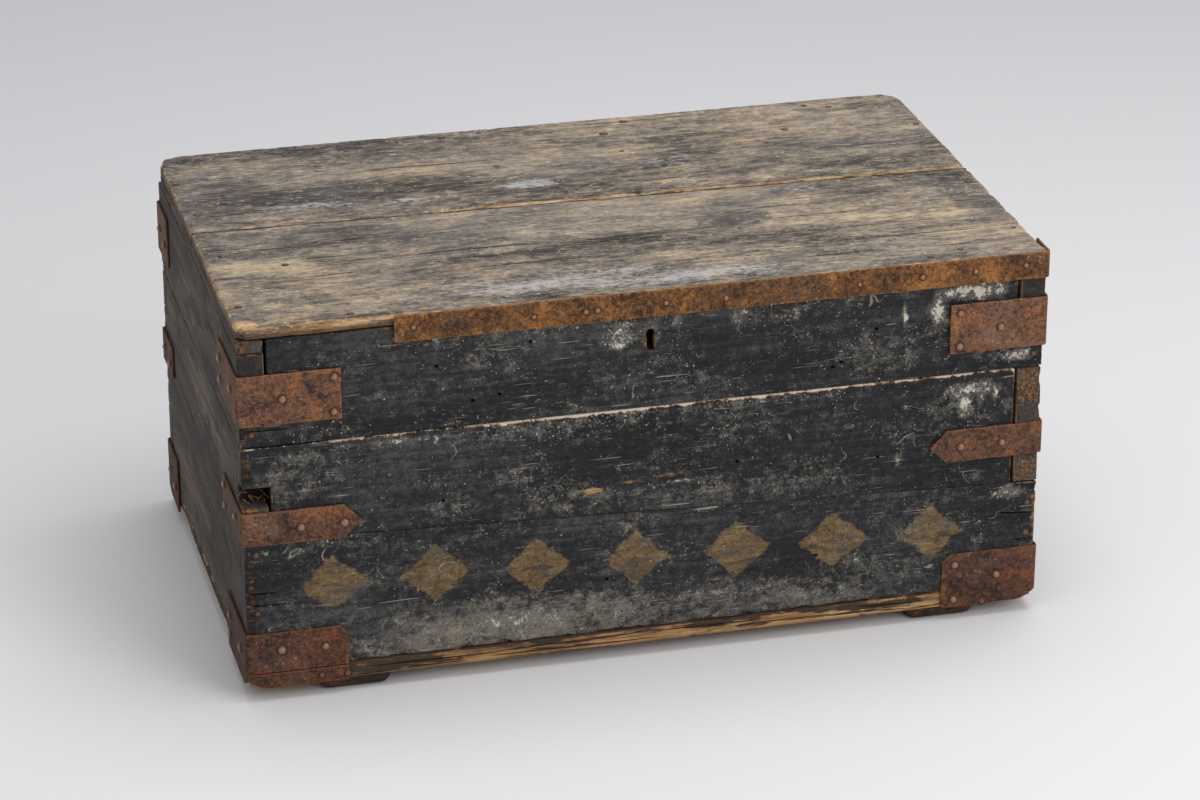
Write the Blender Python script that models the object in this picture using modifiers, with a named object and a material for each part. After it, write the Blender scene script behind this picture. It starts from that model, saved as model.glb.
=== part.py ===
# Sea chest: a finger-jointed board box on two runners, with corner irons, a hinged lid and a lock
import bpy
import bmesh
import math
from mathutils import Matrix, Vector

# Whole chest, in metres
chest_length = 0.914
chest_depth = 0.540
wall_height = 0.396
side_thickness = 0.028
end_thickness = 0.029
bottom_thickness = 0.020
lid_thickness = 0.014
batten_thickness = 0.015
fit_gap = 0.0003

# Board joints, as heights above the bottom boards
front_seam_high = 0.270
front_seam_low_left = 0.1605
front_seam_low_right = 0.127
left_finger_top = 0.328
left_finger_middle = 0.222
right_finger_top = 0.317
bottom_board_count = 3

# Lid boards
lid_seam_left = 0.022
lid_seam_right = 0.003
lid_back_radius = 0.026
lid_front_radius = 0.010
corner_segments = 6

# Runners under the bottom
runner_height = 0.016
runner_width = 0.079
runner_left_inset = 0.121
runner_right_inset = 0.108
runner_inset = 0.003
runner_end_radius = 0.009

# Irons on the corners and the band on the lid
iron_thickness = 0.0025
front_leg = 0.112
front_end_leg = 0.115
back_end_leg = 0.070
upper_iron_height = 0.059
upper_iron_low = 0.297
middle_iron_height = 0.039
middle_iron_low_left = 0.155
middle_iron_low_right = 0.164
middle_iron_point = 0.019
bottom_iron_height = 0.067
bottom_iron_clip = 0.009
band_height = 0.031
band_inset = 0.171
band_return = 0.040

# Strap hinges
hinge_inset = 0.207
hinge_width = 0.036
strap_length = 0.330
strap_point = 0.018
leaf_length = 0.120
leaf_point = 0.016
knuckle_width = 0.0126
knuckle_gap = 0.0005
barrel_radius = 0.0065
barrel_lift = 0.0005
pin_radius = 0.0028
hinge_steps = 24

# Lock behind the keyhole
keyhole_radius = 0.005
keyhole_slot = 0.006
keyhole_height = 0.024
keyhole_below_top = 0.034
lock_width = 0.092
lock_height = 0.062
lock_drop = 0.006
lock_depth = 0.020
lock_wall = 0.002
lock_plate_rim = 0.004
lock_plate_thickness = 0.002
bolt_length = 0.050
bolt_height = 0.012
bolt_thickness = 0.005
bolt_below_top = 0.016
bolt_ledge = 0.020
staple_offset = 0.020
staple_thickness = 0.004
staple_leg = 0.004
staple_clearance = 0.0012
staple_plate_length = 0.050
staple_plate_thickness = 0.0025
spring_thickness = 0.001
spring_rise = 0.003
spring_length = 0.060
spring_width = 0.004
spring_steps = 10

# Levels and faces that follow from the sizes
bottom_under = runner_height
bottom_top = bottom_under + bottom_thickness
lid_under = bottom_top + wall_height
lid_top = lid_under + lid_thickness
end_top = lid_under - batten_thickness
half_length = chest_length / 2
half_depth = chest_depth / 2
inner_length = half_length - end_thickness
inner_depth = half_depth - side_thickness
front_proud = fit_gap + iron_thickness
hinge_axis_out = fit_gap + barrel_radius + barrel_lift
back_proud = hinge_axis_out + barrel_radius
chest_y = (front_proud - back_proud) / 2
front_face = chest_y - half_depth
back_face = chest_y + half_depth
front_inner = chest_y - inner_depth
back_inner = chest_y + inner_depth
seam_high = bottom_top + front_seam_high
strap_top = lid_under - fit_gap
strap_low = strap_top - iron_thickness
hinge_reach = half_length - hinge_inset
hinge_y = back_face + hinge_axis_out
hinge_z = strap_top + barrel_lift - barrel_radius

# Planes that the outlines are drawn in: each takes outline x, y and thickness to the chest's axes
front_plane = Matrix(((1, 0, 0, 0), (0, 0, -1, 0), (0, 1, 0, 0), (0, 0, 0, 1)))
end_plane = Matrix(((0, 0, 1, 0), (1, 0, 0, 0), (0, 1, 0, 0), (0, 0, 0, 1)))


def clear_scene():
    for item in list(bpy.data.objects):
        bpy.data.objects.remove(item, do_unlink=True)


def new_collection(name):
    group = bpy.data.collections.new(name)
    bpy.context.scene.collection.children.link(group)
    return group


def finish(name, colour, roughness, metallic):
    material = bpy.data.materials.new(name)
    material.use_nodes = True
    shader = material.node_tree.nodes["Principled BSDF"]
    shader.inputs["Base Color"].default_value = (*colour, 1)
    shader.inputs["Roughness"].default_value = roughness
    shader.inputs["Metallic"].default_value = metallic
    material.diffuse_color = (*colour, 1)
    return material


def empty_at(name, place):
    pivot = bpy.data.objects.new(name, None)
    pivot.location = place
    pivot.empty_display_size = 0.05
    chest.objects.link(pivot)
    return pivot


def add_piece(name, mesh, material, place=None, pivot=None):
    piece = bpy.data.objects.new(name, mesh)
    piece.matrix_world = place or Matrix.Identity(4)
    mesh.materials.clear()
    mesh.materials.append(material)
    chest.objects.link(piece)
    if pivot:
        piece.parent = pivot
        piece.matrix_parent_inverse = Matrix.Translation(pivot.location).inverted()
    return piece


def add_cutter(name, mesh, place=None):
    cutter = bpy.data.objects.new(name, mesh)
    cutter.matrix_world = place or Matrix.Identity(4)
    cutter.display_type = "WIRE"
    cutter.hide_render = True
    cutters.objects.link(cutter)
    return cutter


def shape_with(piece, tool, operation):
    step = piece.modifiers.new(tool.name, "BOOLEAN")
    step.operation = operation
    step.solver = "EXACT"
    step.object = tool


def box_mesh(name, low, high):
    shape = bmesh.new()
    bmesh.ops.create_cube(shape, size=1)
    size = [b - a for a, b in zip(low, high)]
    middle = [(a + b) / 2 for a, b in zip(low, high)]
    bmesh.ops.scale(shape, vec=size, verts=shape.verts)
    bmesh.ops.translate(shape, vec=middle, verts=shape.verts)
    mesh = bpy.data.meshes.new(name)
    shape.to_mesh(mesh)
    shape.free()
    return mesh


def rod_mesh(name, radius, start, end, y, z):
    shape = bmesh.new()
    bmesh.ops.create_cone(shape, cap_ends=True, segments=hinge_steps, radius1=radius, radius2=radius,
                          depth=end - start)
    turn = Matrix.Translation(((start + end) / 2, y, z)) @ Matrix.Rotation(math.pi / 2, 4, "Y")
    bmesh.ops.transform(shape, matrix=turn, verts=shape.verts)
    mesh = bpy.data.meshes.new(name)
    shape.to_mesh(mesh)
    shape.free()
    for face in mesh.polygons:
        face.use_smooth = True
    mesh.set_sharp_from_angle(angle=math.radians(40))
    return mesh


def outline_mesh(name, points, thickness):
    """Flat outline, filled and thickened evenly to both sides of its plane."""
    curve = bpy.data.curves.new(name, "CURVE")
    curve.dimensions = "2D"
    curve.fill_mode = "BOTH"
    curve.extrude = thickness / 2
    spline = curve.splines.new("POLY")
    spline.points.add(len(points) - 1)
    for corner, (x, y) in zip(spline.points, points):
        corner.co = (x, y, 0, 1)
    spline.use_cyclic_u = True
    drawing = bpy.data.objects.new(name, curve)
    cutters.objects.link(drawing)
    bpy.context.view_layer.update()
    mesh = bpy.data.meshes.new_from_object(drawing.evaluated_get(bpy.context.evaluated_depsgraph_get()))
    bpy.data.objects.remove(drawing)
    shape = bmesh.new()
    shape.from_mesh(mesh)
    bmesh.ops.remove_doubles(shape, verts=shape.verts, dist=0.00001)
    bmesh.ops.recalc_face_normals(shape, faces=shape.faces)
    shape.to_mesh(mesh)
    shape.free()
    return mesh


def rounded(points):
    """Outline from (x, y, radius) corners, each radius drawn as an arc of short sides."""
    outline = []
    count = len(points)
    for index, (x, y, radius) in enumerate(points):
        if not radius:
            outline.append((x, y))
            continue
        here = Vector((x, y))
        before = (Vector(points[index - 1][:2]) - here).normalized()
        after = (Vector(points[(index + 1) % count][:2]) - here).normalized()
        half_angle = before.angle(after) / 2
        centre = here + (before + after).normalized() * radius / math.sin(half_angle)
        start = here + before * radius / math.tan(half_angle) - centre
        end = here + after * radius / math.tan(half_angle) - centre
        sweep = start.angle_signed(end)
        for step in range(corner_segments + 1):
            turn = -sweep * step / corner_segments
            outline.append(tuple(centre + Matrix.Rotation(turn, 2) @ start))
    return outline


def low_seam(x):
    """Height of the sloping joint between the middle and the lower side boards."""
    share = (x + half_length) / chest_length
    return bottom_top + front_seam_low_left + (front_seam_low_right - front_seam_low_left) * share


def side_boards(side, outer, inner):
    """Three boards of the front or the back: fingers run out to the ends where the end boards stop."""
    middle_y = (outer + inner) / 2
    place = Matrix.Translation((0, middle_y, 0)) @ front_plane
    thickness = abs(inner - outer)
    stop = inner_length - fit_gap
    left_top = bottom_top + left_finger_top - fit_gap
    left_middle = bottom_top + left_finger_middle + fit_gap
    right_top = bottom_top + right_finger_top - fit_gap
    upper = [(-half_length, seam_high), (half_length, seam_high), (half_length, right_top), (stop, right_top),
             (stop, lid_under - fit_gap)]
    if side == "back":
        for hinge_x in (hinge_reach, -hinge_reach):
            notch = hinge_width / 2 + fit_gap
            upper.append((hinge_x + notch, lid_under - fit_gap))
            upper.append((hinge_x + notch, strap_low - fit_gap))
            upper.append((hinge_x - notch, strap_low - fit_gap))
            upper.append((hinge_x - notch, lid_under - fit_gap))
    upper.extend([(-stop, lid_under - fit_gap), (-stop, left_top), (-half_length, left_top)])
    middle = [(-stop, low_seam(-stop) + fit_gap), (stop, low_seam(stop) + fit_gap),
              (stop, seam_high - fit_gap), (-half_length, seam_high - fit_gap), (-half_length, left_middle),
              (-stop, left_middle)]
    lower = [(-half_length, bottom_top), (half_length, bottom_top), (half_length, low_seam(half_length)),
             (-half_length, low_seam(-half_length))]
    boards = {}
    for level, points in (("upper", upper), ("middle", middle), ("lower", lower)):
        name = f"{side}_{level}_board"
        boards[level] = add_piece(name, outline_mesh(name, points, thickness), black_paint, place)
    return boards


def end_boards(side, sign, finger_top, finger_middle):
    """Three boards of one end: full-depth fingers where the side boards stop, drawn in behind them elsewhere."""
    middle_x = sign * (inner_length + end_thickness / 2)
    place = Matrix.Translation((middle_x, chest_y, 0)) @ end_plane
    wide = half_depth
    slim = inner_depth - fit_gap
    seam_low = max(low_seam(sign * half_length), low_seam(sign * inner_length)) + fit_gap
    top = end_top - fit_gap
    upper = finger_outline(slim, wide, seam_high, finger_top, top)
    if finger_middle:
        middle = finger_outline(wide, slim, seam_low, finger_middle, seam_high - fit_gap)
    else:
        middle = [(-wide, seam_low), (wide, seam_low), (wide, seam_high - fit_gap), (-wide, seam_high - fit_gap)]
    under = seam_low - fit_gap
    lower = [(-slim, bottom_top), (slim, bottom_top), (slim, under), (-slim, under)]
    for level, points in (("upper", upper), ("middle", middle), ("lower", lower)):
        name = f"{side}_end_{level}_board"
        add_piece(name, outline_mesh(name, points, end_thickness), end_paint, place)


def finger_outline(low_half, high_half, low, change, top):
    """End board outline that changes its half depth at one height."""
    return [(-low_half, low), (low_half, low), (low_half, change), (high_half, change), (high_half, top),
            (-high_half, top), (-high_half, change), (-low_half, change)]


def bent_iron(name, corner, points, material, pivot=None):
    """Sheet iron folded square round a vertical corner of the chest.

    Outline x runs along the front or back from the corner, and below zero along the end.
    """
    right, back = corner
    corner_x = right * (half_length + fit_gap)
    corner_y = chest_y + back * (half_depth + fit_gap)
    mesh = outline_mesh(name, points, 0)
    shape = bmesh.new()
    shape.from_mesh(mesh)
    everything = shape.verts[:] + shape.edges[:] + shape.faces[:]
    bmesh.ops.bisect_plane(shape, geom=everything, plane_co=(0, 0, 0), plane_no=(1, 0, 0), dist=0.00001)
    for point in shape.verts:
        along, height, _ = point.co
        if along >= 0:
            point.co = (corner_x - right * along, corner_y, height)
        else:
            point.co = (corner_x, corner_y + back * along, height)
    for face in shape.faces:
        face.normal_update()
        middle = face.calc_center_median() - Vector((0, chest_y, 0))
        if face.normal.dot(middle) < 0:
            face.normal_flip()
    shape.to_mesh(mesh)
    shape.free()
    iron = add_piece(name, mesh, material, pivot=pivot)
    sheet = iron.modifiers.new("sheet", "SOLIDIFY")
    sheet.thickness = iron_thickness
    sheet.offset = 1
    sheet.use_even_offset = True
    return iron


def corner_irons(place, right, back):
    """Upper plate, pointed middle strap and bottom plate of one corner."""
    end_leg = back_end_leg if back > 0 else front_end_leg
    low = bottom_top + upper_iron_low
    high = low + upper_iron_height
    upper = [(-end_leg, low), (front_leg, low), (front_leg, high), (-end_leg, high)]
    low = bottom_top + (middle_iron_low_right if right > 0 else middle_iron_low_left)
    high = low + middle_iron_height
    middle = [(-end_leg, low), (front_leg, low), (front_leg + middle_iron_point, (low + high) / 2),
              (front_leg, high), (-end_leg, high)]
    low = bottom_under
    high = low + bottom_iron_height
    bottom = [(-end_leg, low), (front_leg, low), (front_leg, high - bottom_iron_clip),
              (front_leg - bottom_iron_clip, high), (-end_leg, high)]
    for level, points in (("upper", upper), ("middle", middle), ("bottom", bottom)):
        bent_iron(f"{place}_{level}_iron", (right, back), points, rusty_iron)


def strap_hinge(side, hinge_x, pivot):
    """Lid strap, back leaf and pin of one hinge, turning on the axis behind the back boards."""
    half = hinge_width / 2
    middle = knuckle_width / 2
    outer = middle + knuckle_gap
    wide_end = back_face - fit_gap
    tip = wide_end - strap_length
    strap = [(-half, tip + strap_point), (0, tip), (half, tip + strap_point), (half, wide_end),
             (middle, wide_end), (middle, hinge_y), (-middle, hinge_y), (-middle, wide_end), (-half, wide_end)]
    name = f"{side}_hinge_strap"
    place = Matrix.Translation((hinge_x, 0, (strap_top + strap_low) / 2))
    strap_piece = add_piece(name, outline_mesh(name, strap, iron_thickness), hinge_iron, place, pivot)
    leaf_top = hinge_z - barrel_radius - knuckle_gap - fit_gap
    foot = hinge_z - leaf_length
    leaf = [(-half, foot + leaf_point), (0, foot), (half, foot + leaf_point), (half, hinge_z), (outer, hinge_z),
            (outer, leaf_top), (-outer, leaf_top), (-outer, hinge_z), (-half, hinge_z)]
    name = f"{side}_hinge_leaf"
    place = Matrix.Translation((hinge_x, back_face + fit_gap + iron_thickness / 2, 0)) @ front_plane
    leaf_piece = add_piece(name, outline_mesh(name, leaf, iron_thickness), hinge_iron, place)
    barrels = ((strap_piece, "strap", -middle, middle), (leaf_piece, "left", -half, -outer),
               (leaf_piece, "right", outer, half))
    for piece, part, start, end in barrels:
        name = f"{side}_{part}_barrel"
        barrel = add_cutter(name, rod_mesh(name, barrel_radius, hinge_x + start, hinge_x + end, hinge_y, hinge_z))
        shape_with(piece, barrel, "UNION")
    name = f"{side}_hinge_bore"
    bore_radius = pin_radius + fit_gap
    bore = add_cutter(name, rod_mesh(name, bore_radius, hinge_x - hinge_width, hinge_x + hinge_width,
                                     hinge_y, hinge_z))
    shape_with(strap_piece, bore, "DIFFERENCE")
    shape_with(leaf_piece, bore, "DIFFERENCE")
    name = f"{side}_hinge_pin"
    add_piece(name, rod_mesh(name, pin_radius, hinge_x - half, hinge_x + half, hinge_y, hinge_z), hinge_iron)


def lid_pieces(pivot):
    """Two lid boards, the batten under each end and the iron band along the front."""
    seam_left = chest_y + lid_seam_left
    seam_right = chest_y + lid_seam_right
    front = rounded([(-half_length, front_face, lid_front_radius), (half_length, front_face, 0),
                     (half_length, seam_right, 0), (-half_length, seam_left, 0)])
    back = rounded([(-half_length, seam_left + fit_gap, 0), (half_length, seam_right + fit_gap, 0),
                    (half_length, back_face, lid_back_radius), (-half_length, back_face, lid_back_radius)])
    place = Matrix.Translation((0, 0, lid_under + lid_thickness / 2))
    for name, points in (("lid_front_board", front), ("lid_back_board", back)):
        add_piece(name, outline_mesh(name, points, lid_thickness), lid_wood, place, pivot)
    batten_width = end_thickness - fit_gap
    place = Matrix.Translation((0, 0, end_top + (batten_thickness - fit_gap) / 2))
    for side, sign in (("left", -1), ("right", 1)):
        outer = sign * half_length
        inner = outer - sign * batten_width
        corners = [(outer, front_face, 0), (outer, back_face, lid_back_radius), (inner, back_face, 0),
                   (inner, front_face, 0)]
        name = f"{side}_lid_batten"
        mesh = outline_mesh(name, rounded(corners), batten_thickness - fit_gap)
        add_piece(name, mesh, end_paint, place, pivot)
    reach = chest_length - band_inset
    low = lid_top - band_height
    band = [(-band_return, low), (reach, low), (reach, lid_top), (-band_return, lid_top)]
    bent_iron("lid_band", (1, -1), band, rusty_iron, pivot)


def bottom_pieces():
    """Boards laid along the bottom and the two runners nailed across below them."""
    width = chest_depth / bottom_board_count
    for index in range(bottom_board_count):
        start = front_face + index * width
        end = start + width - (fit_gap if index < bottom_board_count - 1 else 0)
        name = f"bottom_board_{index + 1}"
        low = (-half_length, start, bottom_under)
        high = (half_length, end, bottom_top - fit_gap)
        add_piece(name, box_mesh(name, low, high), raw_wood)
    top = runner_height - fit_gap
    near = front_face + runner_inset
    far = back_face - runner_inset
    profile = rounded([(near, 0, runner_end_radius), (far, 0, runner_end_radius), (far, top, 0), (near, top, 0)])
    for side, x in (("left", runner_left_inset - half_length), ("right", half_length - runner_right_inset)):
        name = f"{side}_runner"
        add_piece(name, outline_mesh(name, profile, runner_width), raw_wood,
                  Matrix.Translation((x, 0, 0)) @ end_plane)


def lock_pieces(front_board, lid_pivot):
    """Rim lock on the inside of the front: plate, case, sliding bolt, its spring and the lid's staple."""
    plate_front = front_inner + fit_gap
    plate_back = plate_front + lock_plate_thickness
    case_front = plate_back + fit_gap
    case_back = case_front + lock_depth
    case_top = lid_under - lock_drop
    case_low = case_top - lock_height
    half = lock_width / 2
    hole_top = lid_under - keyhole_below_top
    hole_middle = hole_top - keyhole_radius
    hole_low = hole_top - keyhole_height
    plate = box_mesh("lock_plate", (-half - lock_plate_rim, plate_front, case_low - lock_plate_rim),
                     (half + lock_plate_rim, plate_back, case_top))
    plate_piece = add_piece("lock_plate", plate, lock_iron)
    side = keyhole_slot / 2
    slope = math.asin(side / keyhole_radius)
    keyhole = [(-side, hole_low), (side, hole_low)]
    arc = 2 * (math.pi - slope)
    for step in range(hinge_steps // 2 + 1):
        turn = slope - math.pi / 2 + arc * step / (hinge_steps // 2)
        keyhole.append((keyhole_radius * math.cos(turn), hole_middle + keyhole_radius * math.sin(turn)))
    cut_depth = 2 * (side_thickness + lock_plate_thickness)
    cut_place = Matrix.Translation((0, (front_face + plate_back) / 2, 0)) @ front_plane
    hole = add_cutter("keyhole_cutter", outline_mesh("keyhole_cutter", keyhole, cut_depth), cut_place)
    shape_with(front_board, hole, "DIFFERENCE")
    shape_with(plate_piece, hole, "DIFFERENCE")

    case = add_piece("lock_case", box_mesh("lock_case", (-half, case_front, case_low),
                                           (half, case_back, case_top)), lock_iron)
    inside = half - lock_wall
    hollow = box_mesh("lock_hollow", (-inside, case_front - lock_wall, case_low + lock_wall),
                      (inside, case_back - lock_wall, case_top - lock_wall))
    shape_with(case, add_cutter("lock_hollow", hollow), "DIFFERENCE")
    bolt_high = lid_under - bolt_below_top
    bolt_low = bolt_high - bolt_height
    room = lock_depth - lock_wall
    bolt_y = case_front + room / 2
    bolt_front = bolt_y - bolt_thickness / 2
    bolt_back = bolt_y + bolt_thickness / 2
    staple_x = staple_offset
    staple_half = staple_thickness / 2
    window_front = bolt_front - staple_clearance
    window_back = bolt_back + staple_clearance
    slot = box_mesh("staple_slot", (staple_x - staple_half - staple_clearance, case_front - lock_wall, bolt_high),
                    (staple_x + staple_half + staple_clearance, case_back - lock_wall, case_top + lock_wall))
    shape_with(case, add_cutter("staple_slot", slot), "DIFFERENCE")
    ledge_low = case_low + lock_wall / 2
    ledge = box_mesh("bolt_ledge", (-half + lock_wall / 2, bolt_front, ledge_low),
                     (-inside + bolt_ledge, case_back - lock_wall / 2, bolt_low - fit_gap))
    shape_with(case, add_cutter("bolt_ledge", ledge), "UNION")

    bolt_tip = staple_x - staple_half - staple_clearance
    bolt_pivot = empty_at("bolt_slide_axis", (bolt_tip, bolt_y, (bolt_low + bolt_high) / 2))
    bolt = box_mesh("lock_bolt", (bolt_tip - bolt_length, bolt_front, bolt_low), (bolt_tip, bolt_back, bolt_high))
    add_piece("lock_bolt", bolt, lock_iron, pivot=bolt_pivot)

    spring_low = bolt_high + fit_gap
    spring_start = -inside + fit_gap
    under = []
    over = []
    for step in range(spring_steps + 1):
        share = step / spring_steps
        x = spring_start + spring_length * share
        z = spring_low + spring_rise * (2 * share - 1) ** 2
        under.append((x, z))
        over.append((x, z + spring_thickness))
    strip = outline_mesh("bolt_spring", under + over[::-1], spring_width)
    add_piece("bolt_spring", strip, lock_iron, Matrix.Translation((0, bolt_y, 0)) @ front_plane)

    tongue_front = window_front - staple_leg
    tongue_back = window_back + staple_leg
    foot = bolt_low - staple_clearance - staple_leg
    plate_top = lid_under - fit_gap
    plate_low = plate_top - staple_plate_thickness
    plate_half = staple_plate_length / 2
    staple = add_piece("lid_staple", box_mesh("lid_staple", (staple_x - plate_half, tongue_front, plate_low),
                                              (staple_x + plate_half, tongue_back, plate_top)),
                       lock_iron, pivot=lid_pivot)
    tongue = box_mesh("staple_tongue", (staple_x - staple_half, tongue_front, foot),
                      (staple_x + staple_half, tongue_back, (plate_low + plate_top) / 2))
    shape_with(staple, add_cutter("staple_tongue", tongue), "UNION")
    window = box_mesh("staple_window", (staple_x - staple_thickness, window_front, bolt_low - staple_clearance),
                      (staple_x + staple_thickness, window_back, bolt_high + staple_clearance))
    shape_with(staple, add_cutter("staple_window", window), "DIFFERENCE")


clear_scene()
chest = new_collection("sea_chest")
cutters = new_collection("cutters")
lid_wood = finish("weathered_lid_wood", (0.155, 0.13, 0.105), 0.85, 0)
black_paint = finish("scuffed_black_paint", (0.022, 0.022, 0.024), 0.7, 0)
end_paint = finish("worn_end_paint", (0.06, 0.052, 0.045), 0.8, 0)
raw_wood = finish("raw_bottom_wood", (0.25, 0.15, 0.07), 0.85, 0)
rusty_iron = finish("rusty_iron", (0.14, 0.055, 0.025), 0.8, 0.4)
hinge_iron = finish("hinge_iron", (0.09, 0.05, 0.035), 0.75, 0.5)
lock_iron = finish("lock_iron", (0.11, 0.085, 0.07), 0.6, 0.8)

lid_axis = empty_at("lid_hinge_axis", (0, hinge_y, hinge_z))
bottom_pieces()
front_boards = side_boards("front", front_face, front_inner)
side_boards("back", back_face, back_inner)
end_boards("left", -1, bottom_top + left_finger_top, bottom_top + left_finger_middle)
end_boards("right", 1, bottom_top + right_finger_top, None)
for corner_name, corner_right, corner_back in (("front_left", -1, -1), ("front_right", 1, -1),
                                               ("back_left", -1, 1), ("back_right", 1, 1)):
    corner_irons(corner_name, corner_right, corner_back)
lid_pieces(lid_axis)
strap_hinge("left", -hinge_reach, lid_axis)
strap_hinge("right", hinge_reach, lid_axis)
lock_pieces(front_boards["upper"], lid_axis)
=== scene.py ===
import math
import random

import bmesh
import bpy
from mathutils import Matrix, Vector, kdtree, noise


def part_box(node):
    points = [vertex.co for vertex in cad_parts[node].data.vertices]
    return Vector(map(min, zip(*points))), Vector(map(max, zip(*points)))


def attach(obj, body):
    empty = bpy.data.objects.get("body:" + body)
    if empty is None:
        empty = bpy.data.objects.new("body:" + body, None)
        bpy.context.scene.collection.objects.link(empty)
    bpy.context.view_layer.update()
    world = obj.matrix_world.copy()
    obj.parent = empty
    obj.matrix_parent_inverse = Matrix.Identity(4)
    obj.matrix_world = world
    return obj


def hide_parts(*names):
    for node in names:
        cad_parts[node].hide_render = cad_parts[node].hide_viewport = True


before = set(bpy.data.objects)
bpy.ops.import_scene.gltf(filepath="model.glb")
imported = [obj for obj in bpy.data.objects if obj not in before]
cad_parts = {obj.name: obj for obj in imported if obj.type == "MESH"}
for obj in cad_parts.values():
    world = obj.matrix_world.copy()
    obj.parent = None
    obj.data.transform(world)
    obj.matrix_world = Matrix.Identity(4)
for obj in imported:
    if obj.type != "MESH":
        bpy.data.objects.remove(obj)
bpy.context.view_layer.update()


# Studio paper: one pale seamless sheet that the chest stands on.
# It runs out far behind the chest and is painted greyer there, shade standing in for the light falling off.
def join(tree, socket, value):
    """Links a socket to a node's output, or sets it when the value is a plain number or colour."""
    if isinstance(value, bpy.types.NodeSocket):
        tree.links.new(value, socket)
    else:
        socket.default_value = value


def new_finish(name):
    finish = bpy.data.materials.new(name)
    finish.use_nodes = True
    return finish, finish.node_tree, finish.node_tree.nodes["Principled BSDF"]


def space(tree, stretch=(1, 1, 1), shift=(0, 0, 0), turn=(0, 0, 0)):
    """Object coordinates, turned and stretched to suit one pattern."""
    place = tree.nodes.new("ShaderNodeTexCoord")
    mapping = tree.nodes.new("ShaderNodeMapping")
    tree.links.new(place.outputs["Object"], mapping.inputs["Vector"])
    mapping.inputs["Location"].default_value = shift
    mapping.inputs["Rotation"].default_value = turn
    mapping.inputs["Scale"].default_value = stretch
    return mapping.outputs["Vector"]


def object_axes(tree):
    """Object coordinates as three separate numbers."""
    node = tree.nodes.new("ShaderNodeSeparateXYZ")
    tree.links.new(space(tree), node.inputs[0])
    return node.outputs


def fade(tree, value, low, high):
    """Smooth rise from 0 to 1 while the value goes from low to high."""
    node = tree.nodes.new("ShaderNodeMapRange")
    node.interpolation_type = "SMOOTHSTEP"
    join(tree, node.inputs["Value"], value)
    join(tree, node.inputs["From Min"], low)
    join(tree, node.inputs["From Max"], high)
    return node.outputs["Result"]


def cover(tree, share, under, over, mode="MIX"):
    node = tree.nodes.new("ShaderNodeMix")
    node.data_type = "RGBA"
    node.blend_type = mode
    join(tree, node.inputs[0], share)
    join(tree, node.inputs[6], under)
    join(tree, node.inputs[7], over)
    return node.outputs[2]


def tone(red, green, blue):
    """Colour as an eye or a screen counts it, from 0 to 255, as light."""
    light = []
    for part in (red, green, blue):
        share = part / 255
        light.append(share / 12.92 if share <= 0.04045 else ((share + 0.055) / 1.055) ** 2.4)
    return (*light, 1)


sheet = bmesh.new()
bmesh.ops.create_grid(sheet, x_segments=8, y_segments=8, size=16)
paper_mesh = bpy.data.meshes.new("studio_paper")
sheet.to_mesh(paper_mesh)
sheet.free()
paper, tree, shader = new_finish("pale_paper")
# Painted shade: the paper's colour greys towards the back, standing in for light falling off there.
painted_falloff_shade = fade(tree, object_axes(tree)["Y"], -0.9, 3.2)
join(tree, shader.inputs["Base Color"], cover(tree, painted_falloff_shade, tone(229, 229, 230), tone(207, 207, 210)))
shader.inputs["Roughness"].default_value = 0.9
shader.inputs["Specular IOR Level"].default_value = 0.1
paper_mesh.materials.append(paper)
studio_paper = bpy.data.objects.new("studio_paper", paper_mesh)
bpy.context.scene.collection.objects.link(studio_paper)

# Studio light: a grey surround, one broad soft box overhead and a weaker one from the front.
# Together they light a white card to just about white.
surround = bpy.data.worlds.new("grey_surround")
bpy.context.scene.world = surround
surround.use_nodes = True
backing = surround.node_tree.nodes["Background"]
backing.inputs["Color"].default_value = (0.98, 0.98, 1.0, 1)
backing.inputs["Strength"].default_value = 0.60


def soft_box(name, place, target, size, power):
    lamp = bpy.data.lights.new(name, "AREA")
    lamp.shape = "SQUARE"
    lamp.size = size
    lamp.energy = power
    box = bpy.data.objects.new(name, lamp)
    box.location = place
    box.rotation_euler = (Vector(target) - Vector(place)).to_track_quat("-Z", "Y").to_euler()
    bpy.context.scene.collection.objects.link(box)


soft_box("overhead_box", (0.5, -0.1, 3.4), (0, 0, 0.3), 2.6, 54)
soft_box("front_box", (1.6, -3.0, 2.2), (0, 0, 0.25), 1.8, 40)
bpy.context.scene.view_settings.view_transform = "Standard"

# Camera: a long lens from the front left, looking down on the lid as the photograph does.
# Its place was fitted to the chest's corners.
lens = bpy.data.cameras.new("camera")
lens.lens = 122.34
lens.sensor_width = 36
camera = bpy.data.objects.new("camera", lens)
camera.location = (-1.0817, -4.2286, 2.1331)
camera.rotation_euler = (math.radians(90 - 23.926), 0, math.radians(-14.524))
bpy.context.scene.collection.objects.link(camera)
bpy.context.scene.camera = camera


# Bottom: three pine boards laid along the chest and nailed up into the walls.
# The front one's sawn edge shows under the black front as a split strip of raw wood, with a painted shadow
# line along its top.
axis_number = {"x": 0, "y": 1, "z": 2}
# Marks noted on mesh points; the last one paints shade and grime dark into cracks, holes, grooves and gaps.
wear_and_shade_marks = ("edge", "smear", "bare", "scuff_and_shade", "hollow_shade_and_grime")


def new_shape():
    """Empty mesh whose points carry the marks of wear, and of painted shade in hollows."""
    shape = bmesh.new()
    for mark in wear_and_shade_marks:
        shape.verts.layers.float.new(mark)
    return shape


def along_axis(axis, length=1.0):
    reach = Vector((0, 0, 0))
    reach[axis_number[axis]] = length
    return reach


def in_space(pair, axis, level):
    """Point of an outline, with its place on the axis that the outline lies across."""
    place = list(pair)
    place.insert(axis_number[axis], level)
    return Vector(place)


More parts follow.
